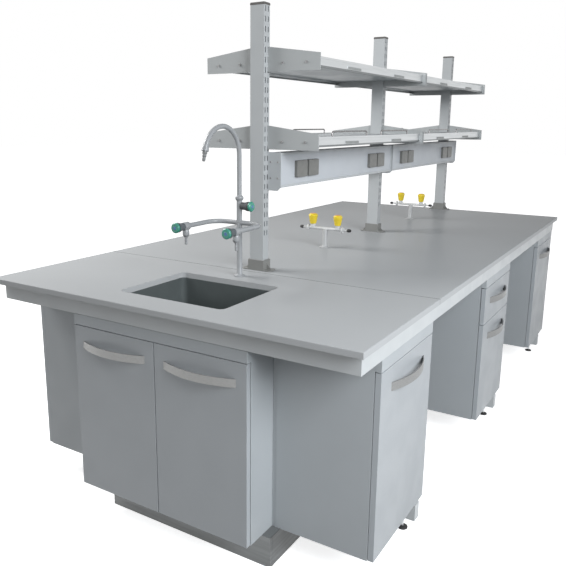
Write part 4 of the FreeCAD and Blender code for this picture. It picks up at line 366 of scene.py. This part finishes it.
SPOUT_BONNET = moulded_plastic("spout_bonnet_plastic", (0.10, 0.105, 0.11), 0.6, shine=0.2)
RUBBER = moulded_plastic("hose_end_rubber", (0.02, 0.02, 0.02), 0.5)
CARD = moulded_plastic("label_card", (0.28, 0.29, 0.285), 0.5)


# Making pieces
def new_piece(name, mesh, material, body):
    """An object at the origin that rides on a body, with smooth faces between its sharp edges."""
    piece = bpy.data.objects.new(name, mesh)
    bpy.context.scene.collection.objects.link(piece)
    mesh.materials.clear()
    mesh.materials.append(material)
    for polygon in mesh.polygons:
        polygon.use_smooth = True
    mesh.set_sharp_from_angle(angle=SHARP_ANGLE)
    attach(piece, body)
    return piece


def mesh_from(bm, name):
    mesh = bpy.data.meshes.new(name)
    bm.to_mesh(mesh)
    bm.free()
    return mesh


def islands(bm):
    """The separate solids of a mesh, as sets of vertices."""
    left = set(bm.verts)
    found = []
    while left:
        group = set()
        queue = [left.pop()]
        while queue:
            vertex = queue.pop()
            group.add(vertex)
            for edge in vertex.link_edges:
                other = edge.other_vert(vertex)
                if other in left:
                    left.discard(other)
                    queue.append(other)
        found.append(group)
    return found


def island_box(group):
    lowest = Vector([min(vertex.co[axis] for vertex in group) for axis in range(3)])
    highest = Vector([max(vertex.co[axis] for vertex in group) for axis in range(3)])
    return lowest, highest


def joined(node):
    """A node's loose triangles, joined at their corners."""
    bm = bmesh.new()
    bm.from_mesh(NODES[node].data)
    bmesh.ops.remove_doubles(bm, verts=bm.verts, dist=WELD)
    return bm


def welded(node, keep=None):
    """A node's mesh with its flat faces whole; keep picks solids by the corners of their box."""
    bm = joined(node)
    if keep:
        unwanted = [vertex for group in islands(bm) if not keep(*island_box(group)) for vertex in group]
        bmesh.ops.delete(bm, geom=unwanted, context="VERTS")
    bmesh.ops.dissolve_limit(bm, angle_limit=FLAT_ANGLE, verts=bm.verts, edges=bm.edges)
    return mesh_from(bm, node + "_welded")


def solid_boxes(node):
    """The low and high corners of each solid of a node."""
    bm = joined(node)
    boxes = [island_box(group) for group in islands(bm)]
    bm.free()
    return sorted(boxes, key=lambda pair: tuple(round(value, 4) for value in (*pair[0], *pair[1])))


def softened(name, node, material, radius, keep=None, segments=2):
    """A copy of a node whose sharp edges are rounded, in place of the node."""
    piece = new_piece(name, welded(node, keep), material, BODY_OF[node])
    bevel = piece.modifiers.new("rounding", "BEVEL")
    bevel.width = radius
    bevel.segments = segments
    bevel.limit_method = "ANGLE"
    bevel.angle_limit = EDGE_ANGLE
    bevel.harden_normals = True
    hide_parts(node)
    return piece


def boarded(name, node, material, chamfer):
    """A copy of a node made of flat boards, with a plain chamfer on its edges, in place of the node."""
    piece = softened(name, node, material, chamfer, segments=1)
    piece.modifiers["rounding"].harden_normals = False
    for polygon in piece.data.polygons:
        polygon.use_smooth = False
    return piece


def painted(piece, *choices):
    """Give the faces that a choice picks, by their middle and direction, a finish of their own."""
    for material, picks in choices:
        piece.data.materials.append(material)
        for polygon in piece.data.polygons:
            if picks(polygon.center, polygon.normal):
                polygon.material_index = len(piece.data.materials) - 1
    return piece


def ruled(piece, *levels):
    """Add edges round a piece at some heights, so that it can change finish there."""
    bm = bmesh.new()
    bm.from_mesh(piece.data)
    for level in levels:
        whole = bm.verts[:] + bm.edges[:] + bm.faces[:]
        place, upwards = (0.0, 0.0, level), (0.0, 0.0, 1.0)
        bmesh.ops.bisect_plane(bm, geom=whole, plane_co=place, plane_no=upwards, dist=WELD)
    bm.to_mesh(piece.data)
    bm.free()
    return piece


def shadow_gap(piece, level, drop):
    """Lower the faces that lie at a level, for the thin dark line under the rail above them."""
    for vertex in piece.data.vertices:
        if abs(vertex.co.z - level) < LEVEL_SLACK:
            vertex.co.z -= drop
    return piece


def board(name, lowest, highest, material):
    """A small flat board of the bench between two corners, with eased edges."""
    bm = bmesh.new()
    bmesh.ops.create_cube(bm, size=1.0)
    size = Vector(highest) - Vector(lowest)
    centre = (Vector(highest) + Vector(lowest)) / 2
    for vertex in bm.verts:
        vertex.co = Vector([vertex.co[axis] * size[axis] for axis in range(3)]) + centre
    bmesh.ops.bevel(bm, geom=bm.edges[:], offset=SMALL_BOARD_CHAMFER, segments=1, affect="EDGES")
    return new_piece(name, mesh_from(bm, name), material, "bench")


def band(bm, lower, upper):
    """Faces between two rings with as many corners each."""
    for number in range(len(lower)):
        following = (number + 1) % len(lower)
        bm.faces.new((lower[number], lower[following], upper[following], upper[number]))


def narrowing(bm, lower, upper):
    """Faces from a ring to one with fewer corners."""
    step = len(lower) // len(upper)
    for number, corner in enumerate(upper):
        following = upper[(number + 1) % len(upper)]
        around = [lower[(number * step + extra) % len(lower)] for extra in range(step + 1)]
        bm.faces.new(around + [following, corner])


# Screws and cards, set out on points by one node tree
def repeat_tree():
    """Sets a part out on points, each turned to the direction kept on its point."""
    tree = bpy.data.node_groups.new("set_out_parts", "GeometryNodeTree")
    for label, way, kind in (
        ("Points", "INPUT", "Geometry"),
        ("Part", "INPUT", "Object"),
        ("Finish", "INPUT", "Material"),
        ("Parts", "OUTPUT", "Geometry"),
    ):
        tree.interface.new_socket(name=label, in_out=way, socket_type=f"NodeSocket{kind}")
    made = {}
    for key, kind in (
        ("entry", "NodeGroupInput"),
        ("exit", "NodeGroupOutput"),
        ("part", "GeometryNodeObjectInfo"),
        ("facing", "GeometryNodeInputNamedAttribute"),
        ("turn", "FunctionNodeAlignRotationToVector"),
        ("place", "GeometryNodeInstanceOnPoints"),
        ("real", "GeometryNodeRealizeInstances"),
        ("finish", "GeometryNodeSetMaterial"),
    ):
        made[key] = tree.nodes.new(kind)
    made["facing"].data_type = "FLOAT_VECTOR"
    made["facing"].inputs["Name"].default_value = "facing"
    made["turn"].axis = "Z"
    for start, start_socket, end, end_socket in (
        ("entry", "Points", "place", "Points"),
        ("entry", "Part", "part", "Object"),
        ("entry", "Finish", "finish", "Material"),
        ("part", "Geometry", "place", "Instance"),
        ("facing", "Attribute", "turn", "Vector"),
        ("turn", "Rotation", "place", "Rotation"),
        ("place", "Instances", "real", "Geometry"),
        ("real", "Geometry", "finish", "Geometry"),
        ("finish", "Geometry", "exit", "Parts"),
    ):
        tree.links.new(made[start].outputs[start_socket], made[end].inputs[end_socket])
    return tree


REPEAT = repeat_tree()


def set_out(name, part, spots, material):
    """One mesh of a small part of the bench, repeated at pairs of a place and a direction."""
    mesh = bpy.data.meshes.new(name + "_points")
    mesh.from_pydata([place for place, _ in spots], [], [])
    facing = mesh.attributes.new("facing", "FLOAT_VECTOR", "POINT")
    for number, (_, direction) in enumerate(spots):
        facing.data[number].vector = direction
    holder = bpy.data.objects.new(name + "_holder", mesh)
    model = bpy.data.objects.new(name + "_model", part)
    bpy.context.scene.collection.objects.link(holder)
    bpy.context.scene.collection.objects.link(model)
    modifier = holder.modifiers.new("set_out", "NODES")
    modifier.node_group = REPEAT
    given = {"Part": model, "Finish": material}
    for item in REPEAT.interface.items_tree:
        if item.in_out == "INPUT" and item.name in given:
            modifier[item.identifier] = given[item.name]
    bpy.context.view_layer.update()
    placed = bpy.data.meshes.new_from_object(holder.evaluated_get(bpy.context.evaluated_depsgraph_get()))
    placed.name = name
    bpy.data.objects.remove(holder)
    bpy.data.objects.remove(model)
    return new_piece(name, placed, material, "bench")


def screw_head(name, radius, height, recess):
    """A pan head with a six sided recess, its seat at Z 0."""
    bm = bmesh.new()
    rings = []
    for reach, level, count in (
        (radius, 0.0, SCREW_CORNERS),
        (radius, SHOULDER_SHARE * height, SCREW_CORNERS),
        (CROWN_SHARE * radius, height, SCREW_CORNERS),
        (recess, height, RECESS_CORNERS),
        (recess, RECESS_SHARE * height, RECESS_CORNERS),
    ):
        angles = [2 * math.pi * number / count for number in range(count)]
        corners = [(reach * math.cos(angle), reach * math.sin(angle), level) for angle in angles]
        rings.append([bm.verts.new(corner) for corner in corners])
    bm.faces.new(list(reversed(rings[0])))
    for lower, upper in zip(rings, rings[1:]):
        if len(lower) == len(upper):
            band(bm, lower, upper)
        else:
            narrowing(bm, lower, upper)
    bm.faces.new(rings[-1])
    return mesh_from(bm, name)


def thin_card(name):
    """A card with its back at Z 0 and small cut corners."""
    wide, high_edge = CARD_WIDE / 2, CARD_HIGH / 2
    outline = [
        (CARD_NICK - wide, -high_edge),
        (wide - CARD_NICK, -high_edge),
        (wide, CARD_NICK - high_edge),
        (wide, high_edge - CARD_NICK),
        (wide - CARD_NICK, high_edge),
        (CARD_NICK - wide, high_edge),
        (-wide, high_edge - CARD_NICK),
        (-wide, CARD_NICK - high_edge),
    ]
    bm = bmesh.new()
    back, face = [[bm.verts.new((x, y, level)) for x, y in outline] for level in (0.0, CARD_THICK)]
    bm.faces.new(list(reversed(back)))
    bm.faces.new(face)
    band(bm, back, face)
    return mesh_from(bm, name)


# Worktop and steel frame
def worktop():
    """Both sections with their edge faces painted paler as painted light, and a dark bead in the seam
    between them.
    """
    main_low, main_high = low("worktop_main_section"), high("worktop_main_section")
    seam_x = main_low.x
    for name, node in (
        ("worktop_sink_end", "worktop_sink_section"),
        ("worktop_main", "worktop_main_section"),
    ):
        painted(
            softened(name, node, WORKTOP, SLAB_ROUND),
            # Edge faces painted paler: painted light, not a different resin
            (RESIN_EDGE_LIT, lambda place, normal: abs(normal.z) < UPRIGHT_FACE),
            (SEAM, lambda place, normal: abs(normal.x) > SQUARE and abs(place.x - seam_x) < SEAM_FACE_REACH),
        )
    board(
        "joint_bead",
        (seam_x - BEAD_HALF_WIDTH, main_low.y - BEAD_PROUD, main_low.z + BEAD_FOOT),
        (seam_x + BEAD_HALF_WIDTH, main_high.y + BEAD_PROUD, main_high.z + BEAD_RISE),
        SEAM,
    )


def under_the_top(lowest, highest):
    """Picks the caps on the foot beams, and not those on the uprights."""
    return highest.z < CAP_LEVEL


def over_the_top(lowest, highest):
    """Picks the caps on the uprights."""
    return lowest.z > CAP_LEVEL


def steel_frame():
    """Cross frames with capped foot beams, the apron round them, and the levelling feet."""
    softened("steel_cross_frames", "cross_frames", FRAME, CROSS_FRAME_ROUND, segments=3)
    softened("steel_apron", "apron_rails", FRAME, APRON_ROUND, segments=3)
    softened("beam_caps", "tube_end_caps", FRAME, CAP_ROUND, keep=under_the_top)
    painted(
        softened("foot_discs", "levelling_feet", FOOT, FOOT_ROUND),
        (PLATED, lambda place, normal: place.z > FOOT_DISC_TOP),
    )


# Cabinets and sink
def carcasses():
    """The cabinets' boards, with their tops a thin gap below the apron."""
    for name, node in (
        ("sink_cupboard", "sink_cabinet"),
        ("door_cupboards", "door_cabinets"),
        ("drawer_cupboards", "drawer_cabinets"),
    ):
        shadow_gap(boarded(name, node, CARCASS, CARCASS_CHAMFER), high(node).z, RAIL_GAP)


def corner_fillers():
    """The strips that close the corners between the sink cupboard and the end cabinets."""
    carcass_low, carcass_high = low("sink_cabinet"), high("sink_cabinet")
    panel_x = low("door_cabinets").x
    for side, sign in (("socket_side", -1.0), ("plain_side", 1.0)):
        near, far = sorted(sign * (carcass_high.y + reach) for reach in (FILLER_NEAR, FILLER_FAR))
        board(
            "corner_filler_" + side,
            (panel_x + FILLER_SETBACK, near, carcass_low.z),
            (panel_x + FILLER_FRONT, far, carcass_high.z - RAIL_GAP),
            CARCASS,
        )


def plinth():
    """The plinth, with a dark ledge where it shows past the sink cupboard."""
    painted(
        boarded("plinth", "sink_plinth", PLINTH, PLINTH_CHAMFER),
        (LEDGE, lambda place, normal: normal.z > SQUARE),
    )
    plinth_low, plinth_high = low("sink_plinth"), high("sink_plinth")
    board(
        "plinth_ledge",
        (plinth_low.x + LEDGE_INSET, plinth_low.y + LEDGE_INSET, plinth_high.z - LEDGE_FOOT),
        (plinth_high.x - LEDGE_INSET, low("sink_cabinet").y + LEDGE_TUCK, plinth_high.z - LEDGE_DROP),
        LEDGE,
    )


def front_rim(node):
    """Picks the narrow edge faces of a front, which stand square to its two broad faces."""
    across = 0 if node.startswith("sink") else 1
    return lambda place, normal: abs(normal[across]) < MOSTLY


def doors():
    for node in [name for name in NODES if "_door_" in name]:
        painted(boarded(node + "_board", node, FRONT, FRONT_CHAMFER), (EDGING, front_rim(node)))
    softened("concealed_hinges", "hinge_arms", PLATED, HINGE_ROUND)


def drawers():
    """Each drawer with its front, pale box and plated runners; the cabinets' runners stay behind."""
    centre_x = middle("drawer_socket_side").x
    box_reach = abs(low("drawer_socket_side").y) - DRAWER_FRONT_BACK

    def in_box(place, normal):
        return abs(place.y) < box_reach

    def on_runner(place, normal):
        return in_box(place, normal) and abs(place.x - centre_x) > RUNNER_PLACE

    for node in ("drawer_socket_side", "drawer_plain_side"):
        painted(
            boarded(node + "_box", node, FRONT, FRONT_CHAMFER),
            (EDGING, front_rim(node)),
            (DRAWER_BOX, in_box),
            (PLATED, on_runner),
        )
    softened("roller_runners", "drawer_runners", PLATED, RUNNER_ROUND)


def handles():
    """The bow handles, with the faces turned to the door painted paler as painted light over their own
    shade.
    """
    for node in [name for name in NODES if "_handle_" in name]:
        inward = Vector((1.0, 0.0, 0.0))
        if not node.startswith("sink"):
            inward = Vector((0.0, -math.copysign(1.0, middle(node).y), 0.0))
        painted(
            softened(node + "_bow", node, HANDLE, HANDLE_ROUND),
            # Faces turned to the door painted paler: painted light over their shade
            (HANDLE_BACK_LIT, lambda place, normal: normal.dot(inward) > TURNED_IN),
        )


def basin_and_waste():
    """The basin, and the trap under it with a plated strainer."""
    softened("basin_shell", "sink_basin", BASIN, BASIN_ROUND)
    basin_foot = low("sink_basin").z
    painted(
        softened("trap", "sink_waste_and_trap", WASTE, TRAP_ROUND),
        (PLATED, lambda place, normal: place.z > basin_foot + STRAINER_LIFT),
    )


# Rack, shelves and duct
def rack_posts():
    """The slotted uprights, with painted shade on the faces inside the tubes, in their shoes and under their
    caps.
    """
    boxes = solid_boxes("rack_uprights")

    def inside(place, normal):
        return any(
            lowest.x + POST_SKIN < place.x < highest.x - POST_SKIN
            and lowest.y + POST_SKIN < place.y < highest.y - POST_SKIN
            for lowest, highest in boxes
        )

    # Faces inside the tubes painted dark: painted shade
    painted(softened("rack_posts", "rack_uprights", RACK, POST_ROUND), (RACK_INNER_SHADE, inside))
    softened("post_shoes", "upright_shoes", SHOE, SHOE_ROUND)
    softened("post_caps", "tube_end_caps", CAP, CAP_ROUND, keep=over_the_top)
    cap_skirts(boxes)


def cap_skirts(boxes):
    """The lip of each upright's cap, round the outside of the tube."""
    bm = bmesh.new()
    for lowest, highest in boxes:
        rings = []
        for proud, drop in (
            (SKIRT_TUCK, SKIRT_HEIGHT + SKIRT_LIP),
            (SKIRT_PROUD, SKIRT_HEIGHT),
            (SKIRT_PROUD, 0.0),
            (SKIRT_TUCK, 0.0),
        ):
            left, right = lowest.x - proud, highest.x + proud
            front, back = lowest.y - proud, highest.y + proud
            level = highest.z + SKIRT_RISE - drop
            corners = ((left, front), (right, front), (right, back), (left, back))
            rings.append([bm.verts.new((x, y, level)) for x, y in corners])
        for lower, upper in zip(rings, rings[1:] + rings[:1]):
            band(bm, lower, upper)
    bmesh.ops.recalc_face_normals(bm, faces=bm.faces[:])
    new_piece("post_cap_skirts", mesh_from(bm, "post_cap_skirts"), CAP, "bench")


def shelves():
    """Brackets, shelves with painted shade on their undersides, edge strips with a darker lower band, guard
    rails.
    """
    softened("bracket_plates", "shelf_brackets", BRACKET, BRACKET_ROUND)
    painted(
        boarded("shelf_panels", "rack_shelves", SHELF, SHELF_CHAMFER),
        # Faces that look down painted darker: painted shade
        (SHELF_UNDERSIDE_SHADE, lambda place, normal: normal.z < -MOSTLY),
    )
    long_strips = [box for box in solid_boxes("shelf_edge_strips") if box[1].x - box[0].x > LONG_STRIP]
    levels = sorted({round(lowest.z, 4) for lowest, highest in long_strips})

    def in_lower_band(place, normal):
        return any(-STRIP_BAND_SLACK < place.z - level < STRIP_BAND for level in levels)

    strips = softened("shelf_strips", "shelf_edge_strips", STRIP, STRIP_ROUND)
    painted(ruled(strips, *[level + STRIP_BAND for level in levels]), (STRIP_LOW, in_lower_band))
    softened("rails_of_rod", "guard_rails", ROD, ROD_ROUND)


def socket_duct():
    """The duct with a paler front, its sockets and their flip lids."""
    face_y = low("socket_ducts").y
    painted(
        softened("duct_channels", "socket_ducts", DUCT, DUCT_ROUND),
        (DUCT_FRONT, lambda place, normal: normal.y < -SQUARE and place.y > face_y + DUCT_FRONT_BACK),
    )
    softened("socket_plates", "socket_inserts", SOCKET_INNER, SOCKET_ROUND)
    for node in sorted(name for name in NODES if name.startswith("socket_lid_")):
        softened(node.replace("lid", "flap"), node, SOCKET, FLAP_ROUND)


BAY_MIDDLES = sorted({round(middle(node).x, 4) for node in NODES if node.startswith("gas_knob")})


def outer_face(lowest, highest):
    """Where a plate at the end of a bay faces away from that bay: its place and direction along X."""
    bay = min(BAY_MIDDLES, key=lambda place: abs(place - lowest.x))
    return (lowest.x, -1.0) if lowest.x < bay else (highest.x, 1.0)


def bracket_screws():
    """Two screws on the outer face of each shelf bracket."""
    spots = []
    for lowest, highest in solid_boxes("shelf_brackets"):
        face, outward = outer_face(lowest, highest)
        side = -1.0 if lowest.y < -ROOT_SPLIT else 1.0
        root = min(abs(lowest.y), abs(highest.y))
        for reach in BRACKET_SCREW_REACHES:
            place = (face, side * (root + reach), lowest.z + BRACKET_SCREW_LEVEL)
            spots.append((place, (outward, 0.0, 0.0)))
    set_out("bracket_screws", screw_head("bracket_screw", *BRACKET_SCREW), spots, SCREW)


def plate_screws():
    """Four screws on each end plate of the duct."""
    spots = []
    for lowest, highest in solid_boxes("socket_ducts"):
        if highest.x - lowest.x < END_PLATE_THICK:
            face, outward = outer_face(lowest, highest)
            for y in (lowest.y + PLATE_SCREW_INSET, highest.y - PLATE_SCREW_INSET):
                for z in (highest.z - PLATE_SCREW_DROP, lowest.z + PLATE_SCREW_RISE):
                    spots.append(((face, y, z), (outward, 0.0, 0.0)))
    set_out("plate_screws", screw_head("plate_screw", *PLATE_SCREW), spots, SCREW)


def label_cards():
    """A blank card in each label holder of the shelf strips."""
    spots = []
    for lowest, highest in solid_boxes("shelf_edge_strips"):
        if highest.x - lowest.x < LABEL_STRIP:
            side = -1.0 if lowest.y < 0 else 1.0
            bed = side * (max(abs(lowest.y), abs(highest.y)) - CARD_BED)
            centre = (lowest + highest) / 2
            spots.append(((centre.x, bed, centre.z), (0.0, side, 0.0)))
    set_out("label_cards", thin_card("label_card"), spots, CARD)


# Taps
def height_between(least, most):
    """Picks the solids of a node by their height."""
    return lambda lowest, highest: least < highest.z - lowest.z < most


def knob_cap(node):
    """Picks the raised cap in the middle of a water knob's face."""
    along = 1 if node == "spout_knob" else 0
    face = low(node)[along] + KNOB_CAP_DEPTH
    return lambda place, normal: place[along] < face


def water_tap():
    """Column, hose nozzles, valves with dark bonnets, swan neck with a dark tip, green knobs."""
    softened("tap_column", "faucet_body", TAP, TAP_ROUND, keep=height_between(NOZZLE_HEIGHT, math.inf))
    softened("tap_nozzles", "faucet_body", TAP, TAP_ROUND, keep=height_between(VALVE_HEIGHT, NOZZLE_HEIGHT))
    bonnet_end = high("hose_knob_socket_side").x + BONNET_REACH
    painted(
        softened("tap_valves", "faucet_body", TAP, TAP_ROUND, keep=height_between(0.0, VALVE_HEIGHT)),
        (BONNET, lambda place, normal: place.x < bonnet_end),
        (SPOUT_BONNET, lambda place, normal: place.z > SPOUT_VALVE_LEVEL),
    )
    tip_end = low("swan_neck_spout").x + NECK_TIP_WIDTH
    painted(
        softened("swan_neck", "swan_neck_spout", TAP, TAP_ROUND),
        (NOZZLE, lambda place, normal: place.x < tip_end and place.z < NECK_TIP_LEVEL),
    )
    for node in ("hose_knob_plain_side", "hose_knob_socket_side", "spout_knob"):
        painted(softened(node + "_grip", node, KNOB_GREEN, WATER_KNOB_ROUND), (KNOB_BLUE, knob_cap(node)))


def gas_taps():
    """Posts with the crossbar painted paler as painted light, dark hose ends, and yellow knobs with a mark
    on top.
    """
    bar_foot = low("gas_knob_1_socket_side").z - GAS_BAR_DROP
    hose_end = high("gas_taps").y - HOSE_END
    painted(
        softened("gas_posts", "gas_taps", GAS_WHITE, GAS_TAP_ROUND),
        # Crossbar painted paler: painted light
        (GAS_BAR_LIT, lambda place, normal: place.z > bar_foot),
        (RUBBER, lambda place, normal: abs(place.y) > hose_end),
    )
    for node in [name for name in NODES if name.startswith("gas_knob")]:
        mark_foot = high(node).z - KNOB_MARK_DEPTH
        painted(
            softened(node + "_grip", node, KNOB_YELLOW, GAS_KNOB_ROUND),
            (KNOB_MARK, lambda place, normal: normal.z > LEVEL_FACE and place.z > mark_foot),
        )


worktop()
steel_frame()
carcasses()
corner_fillers()
plinth()
doors()
drawers()
handles()
basin_and_waste()
rack_posts()
shelves()
socket_duct()
bracket_screws()
plate_screws()
label_cards()
water_tap()
gas_taps()


# Camera, at the photograph's viewing angle
def camera():
    data = bpy.data.cameras.new("camera")
    data.sensor_fit = "HORIZONTAL"
    data.sensor_width = 36.0
    data.lens = 41.92
    data.shift_x = 0.0297
    data.shift_y = -0.0283
    viewer = bpy.data.objects.new("camera", data)
    viewer.location = (-2.9854, -1.3829, 1.4221)
    viewer.rotation_euler = (1.35482, -0.00647, -1.01106)
    bpy.context.scene.collection.objects.link(viewer)
    bpy.context.scene.camera = viewer


# Light and backdrop
def window(name, place, target, size, power, colour):
    """A large lamp that shines from a place at a target and isn't seen itself."""
    data = bpy.data.lights.new(name, "AREA")
    data.shape = "RECTANGLE"
    data.size, data.size_y = size
    data.energy = power
    data.color = colour
    lamp = bpy.data.objects.new(name, data)
    lamp.location = place
    direction = Vector(target) - Vector(place)
    lamp.rotation_euler = direction.to_track_quat("-Z", "Y").to_euler()
    lamp.visible_camera = False
    bpy.context.scene.collection.objects.link(lamp)


def seen_or_light(nodes, links, seen, other):
    """Mix two shaders: one for what the camera and mirrors see, one for the light it gives."""
    path = nodes.new("ShaderNodeLightPath")
    total = path.outputs["Is Camera Ray"]
    for ray in ("Is Glossy Ray", "Is Transmission Ray"):
        add = nodes.new("ShaderNodeMath")
        add.operation = "ADD"
        add.use_clamp = True
        links.new(total, add.inputs[0])
        links.new(path.outputs[ray], add.inputs[1])
        total = add.outputs[0]
    mix = nodes.new("ShaderNodeMixShader")
    links.new(total, mix.inputs["Fac"])
    links.new(other, mix.inputs[1])
    links.new(seen, mix.inputs[2])
    return mix.outputs["Shader"]


def coloured(nodes, kind, colour):
    """The output of a new shader of a kind, in one colour."""
    shader = nodes.new(kind)
    shader.inputs["Color"].default_value = (*colour, 1.0)
    return shader.outputs[0]


def studio_world():
    """White where it is seen, and a weak cool fill for the light."""
    world = bpy.data.worlds.new("studio")
    bpy.context.scene.world = world
    world.use_nodes = True
    nodes, links = world.node_tree.nodes, world.node_tree.links
    nodes.clear()
    white = coloured(nodes, "ShaderNodeBackground", (1.0, 1.0, 1.0))
    white.node.inputs["Strength"].default_value = 1.0
    fill = coloured(nodes, "ShaderNodeBackground", (0.95, 0.97, 1.0))
    fill.node.inputs["Strength"].default_value = 0.18
    output = nodes.new("ShaderNodeOutputWorld")
    links.new(seen_or_light(nodes, links, white, fill), output.inputs["Surface"])


def floor_glow(nodes, links):
    """A glow that rises with the distance from the bench, so that the floor meets the white world."""
    place = nodes.new("ShaderNodeTexCoord")
    distance = nodes.new("ShaderNodeVectorMath")
    distance.operation = "LENGTH"
    rise = nodes.new("ShaderNodeMapRange")
    rise.interpolation_type = "SMOOTHSTEP"
    for label, number in (("From Min", 1.5), ("From Max", 4.0), ("To Min", 0.76), ("To Max", 1.0)):
        rise.inputs[label].default_value = number
    glow = nodes.new("ShaderNodeEmission")
    links.new(place.outputs["Object"], distance.inputs[0])
    links.new(distance.outputs["Value"], rise.inputs["Value"])
    links.new(rise.outputs["Result"], glow.inputs["Strength"])
    return glow.outputs[0]


def pale_floor():
    """A floor that is seen white with the bench's shadow, and throws only a little light back."""
    material = bpy.data.materials.new("pale_floor")
    material.use_nodes = True
    nodes, links = material.node_tree.nodes, material.node_tree.links
    nodes.clear()
    seen = nodes.new("ShaderNodeAddShader")
    links.new(coloured(nodes, "ShaderNodeBsdfDiffuse", (0.95, 0.95, 0.95)), seen.inputs[0])
    links.new(floor_glow(nodes, links), seen.inputs[1])
    light = coloured(nodes, "ShaderNodeBsdfDiffuse", (0.30, 0.30, 0.30))
    output = nodes.new("ShaderNodeOutputMaterial")
    links.new(seen_or_light(nodes, links, seen.outputs[0], light), output.inputs["Surface"])
    return material


def floor():
    reach = 30.0
    mesh = bpy.data.meshes.new("floor")
    corners = [(-reach, -reach, 0.0), (reach, -reach, 0.0), (reach, reach, 0.0), (-reach, reach, 0.0)]
    mesh.from_pydata(corners, [], [(0, 1, 2, 3)])
    mesh.materials.append(pale_floor())
    ground = bpy.data.objects.new("floor", mesh)
    bpy.context.scene.collection.objects.link(ground)


camera()
window(
    "socket_side_window",
    place=(-2.0, -3.0, 2.2),
    target=(0.3, -0.6, 0.7),
    size=(2.0, 1.5),
    power=120.0,
    colour=(0.93, 0.965, 1.0),
)
window(
    "plain_side_window",
    place=(-1.4, 2.6, 2.8),
    target=(-0.6, 0.2, 0.85),
    size=(1.8, 1.6),
    power=105.0,
    colour=(1.0, 1.0, 1.0),
)
window(
    "behind_camera",
    place=(-3.6, -0.6, 1.5),
    target=(-1.4, 0.0, 0.6),
    size=(1.5, 1.0),
    power=4.0,
    colour=(1.0, 0.99, 0.98),
)
studio_world()
floor()
bpy.context.scene.view_settings.view_transform = "Standard"
